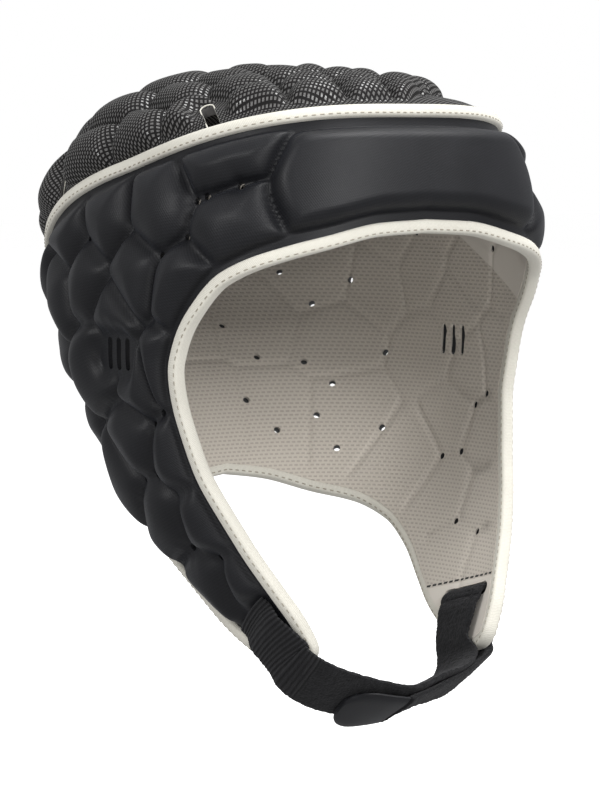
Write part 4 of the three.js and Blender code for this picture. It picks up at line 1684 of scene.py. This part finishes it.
@dataclass(frozen=True)
class LoopPile:
    """Black loop pile of the strap."""

    name: str = "strap_loop"
    dark: tuple[float, float, float] = (0.004, 0.004, 0.0045)
    light: tuple[float, float, float] = (0.014, 0.014, 0.0155)
    woven: float = 34.0
    rib: float = 1.7

    def build(self) -> bpy.types.Material:
        """Make the material.

        Returns:
            The material.
        """
        g = Graph(self.name)
        along, _ = g.flat()
        curls = g.noise(0.9, 3.0)
        tufts = g.noise(3.0, 2.0)
        woven = along.ease(self.woven - 1.0, self.woven + 1.0, 1.0, 0.0)
        rib = (along * (TAU / self.rib)).op("SINE") * 0.5 + 0.5
        pile = curls * 0.6 + tufts * 0.4
        height = pile * (1 - woven) + (rib * 0.8 + curls * 0.2) * woven
        colour = g.mix(height.ease(0.35, 0.75), self.dark, self.light)
        return g.finish({
            "Base Color": colour, "Roughness": 0.95, "Specular IOR Level": 0.2,
            "Sheen Weight": 0.12, "Sheen Roughness": 0.6, "Sheen Tint": (0.5, 0.5, 0.52, 1.0),
            "Normal": g.bump(height, 0.9, 0.9),
        })


@dataclass(frozen=True)
class Studio:
    """Pale floor, soft lights and the camera."""

    azimuth: float = -35.0
    elevation: float = 4.5
    distance: float = 1.3
    lens: float = 152.1
    target: tuple[float, float, float] = (0.0, -0.0114, -0.1189)
    floor: float = -0.262
    ambient: float = 0.5

    def direction(self, azimuth: float, elevation: float) -> Vector:
        """Give the direction from the object to a place round it."""
        a, e = math.radians(azimuth), math.radians(elevation)
        return Vector((math.sin(a) * math.cos(e), -math.cos(a) * math.cos(e), math.sin(e)))

    def camera(self) -> None:
        """Set the camera at the photograph's angle."""
        deselect()
        away = self.direction(self.azimuth, self.elevation)
        spot = Vector(self.target) + away * self.distance
        bpy.ops.object.camera_add(location=spot, rotation=away.to_track_quat("Z", "Y").to_euler())
        camera = bpy.context.object
        camera.data.lens = self.lens
        camera.data.clip_start = 0.05
        bpy.context.scene.camera = camera

    def light(self, name: str, azimuth: float, elevation: float, far: float, size: float,
              power: float) -> None:
        """Set one soft light.

        Args:
            name: The light's name.
            azimuth: Degrees round the object.
            elevation: Degrees above it.
            far: Distance in metres.
            size: Side of the light in metres.
            power: Watts.
        """
        away = self.direction(azimuth, elevation)
        spot = Vector(self.target) + away * far
        turn = away.to_track_quat("Z", "Y").to_euler()
        bpy.ops.object.light_add(type="AREA", location=spot, rotation=turn)
        light = bpy.context.object
        light.name = name
        light.data.size = size
        light.data.energy = power

    def backdrop(self) -> None:
        """Make the pale floor."""
        bpy.ops.mesh.primitive_grid_add(x_subdivisions=8, y_subdivisions=8, size=14,
                                        location=(0, 0, self.floor))
        floor = bpy.context.object
        floor.name = "studio_floor"
        g = Graph("studio_floor")
        grain = g.noise(400.0, 2.0)
        colour = g.mix(grain, (0.86, 0.86, 0.86), (0.90, 0.90, 0.90))
        floor.data.materials.append(g.finish({
            "Base Color": colour, "Roughness": 0.9, "Emission Color": (1.0, 1.0, 1.0),
            "Emission Strength": 0.55,
        }))
        floor.visible_diffuse = floor.visible_glossy = False

    def build(self) -> None:
        """Make the whole studio."""
        world = bpy.data.worlds.new("studio")
        world.use_nodes = True
        tree = world.node_tree
        background = tree.nodes["Background"]
        background.inputs[0].default_value = (1.0, 1.0, 1.0, 1.0)
        seen = tree.nodes.new("ShaderNodeLightPath")
        strength = tree.nodes.new("ShaderNodeMapRange")
        strength.inputs[3].default_value = self.ambient
        tree.links.new(seen.outputs["Is Camera Ray"], strength.inputs[0])
        tree.links.new(strength.outputs[0], background.inputs[1])
        bpy.context.scene.world = world
        bpy.context.scene.view_settings.view_transform = "Standard"
        self.backdrop()
        self.camera()
        self.light("key", 5.0, 26.0, 1.5, 0.6, 13.0)
        self.light("side", -80.0, 32.0, 1.5, 0.5, 9.0)
        self.light("top", 60.0, 68.0, 1.3, 0.7, 15.0)
        self.light("fill", -28.0, -6.0, 1.35, 0.35, 5.8)


def dress(piece: bpy.types.Object, material: bpy.types.Material) -> None:
    """Give a piece one material.

    Args:
        piece: The piece.
        material: The material.
    """
    piece.data.materials.clear()
    piece.data.materials.append(material)


def main() -> None:
    """Build the cap and its studio."""
    logging.basicConfig(level=logging.INFO, format="%(message)s")
    layout = CapLayout(HeadForm())
    strap = Strap(layout)
    layout.strap = strap.room()
    pads = [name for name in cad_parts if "pad" in name]
    cloth, grey = StretchCloth().build(), LiningCloth().build()
    cover = Cover(layout).build()
    dress(cover, cloth)
    ride(cover, "stretch_cloth", "shell", *pads)
    lining = Lining(layout).build()
    dress(lining, grey)
    ride(lining, "lining_cloth", "lining")
    crown = Crown(layout).build()
    dress(crown, CrownNet().build())
    ride(crown, "crown_mesh", "crown")
    edging = Crown(layout).edging()
    dress(edging, TapeCloth("notch_edging").build())
    ride(edging, "edge_tape")
    tape = TapeCloth().build()
    turn = np.arange(420) * 360 / 420
    crown_tape = Tape("crown_tape", layout).build(turn, layout.form.seam_z(turn))
    dress(crown_tape, tape)
    yarn = Yarn().build()
    fine = np.arange(2400) * 360 / 2400
    crown_thread = Thread(layout).build("crown_tape_stitches", fine, layout.form.seam_z(fine))
    dress(crown_thread, yarn)
    ride(crown_thread, "edge_tape")
    edge_thread = Thread(layout).build("edge_tape_stitches", *layout.edge(layout.lines(4800)))
    dress(edge_thread, yarn)
    ride(edge_thread, "edge_tape")
    ride(crown_tape, "edge_tape", "crown_binding")
    edge_tape = Tape("edge_tape_loop", layout).build(*layout.edge(layout.lines(800)))
    dress(edge_tape, tape)
    ride(edge_tape, "edge_tape", "edge_binding")
    band, tab = strap.build()
    dress(band, LoopPile().build())
    ride(band, "strap_loop", "chin_strap")
    dress(tab, cloth)
    ride(tab, "stretch_cloth", "strap_tab")
    Studio().build()


if __name__ == "__main__":
    main()
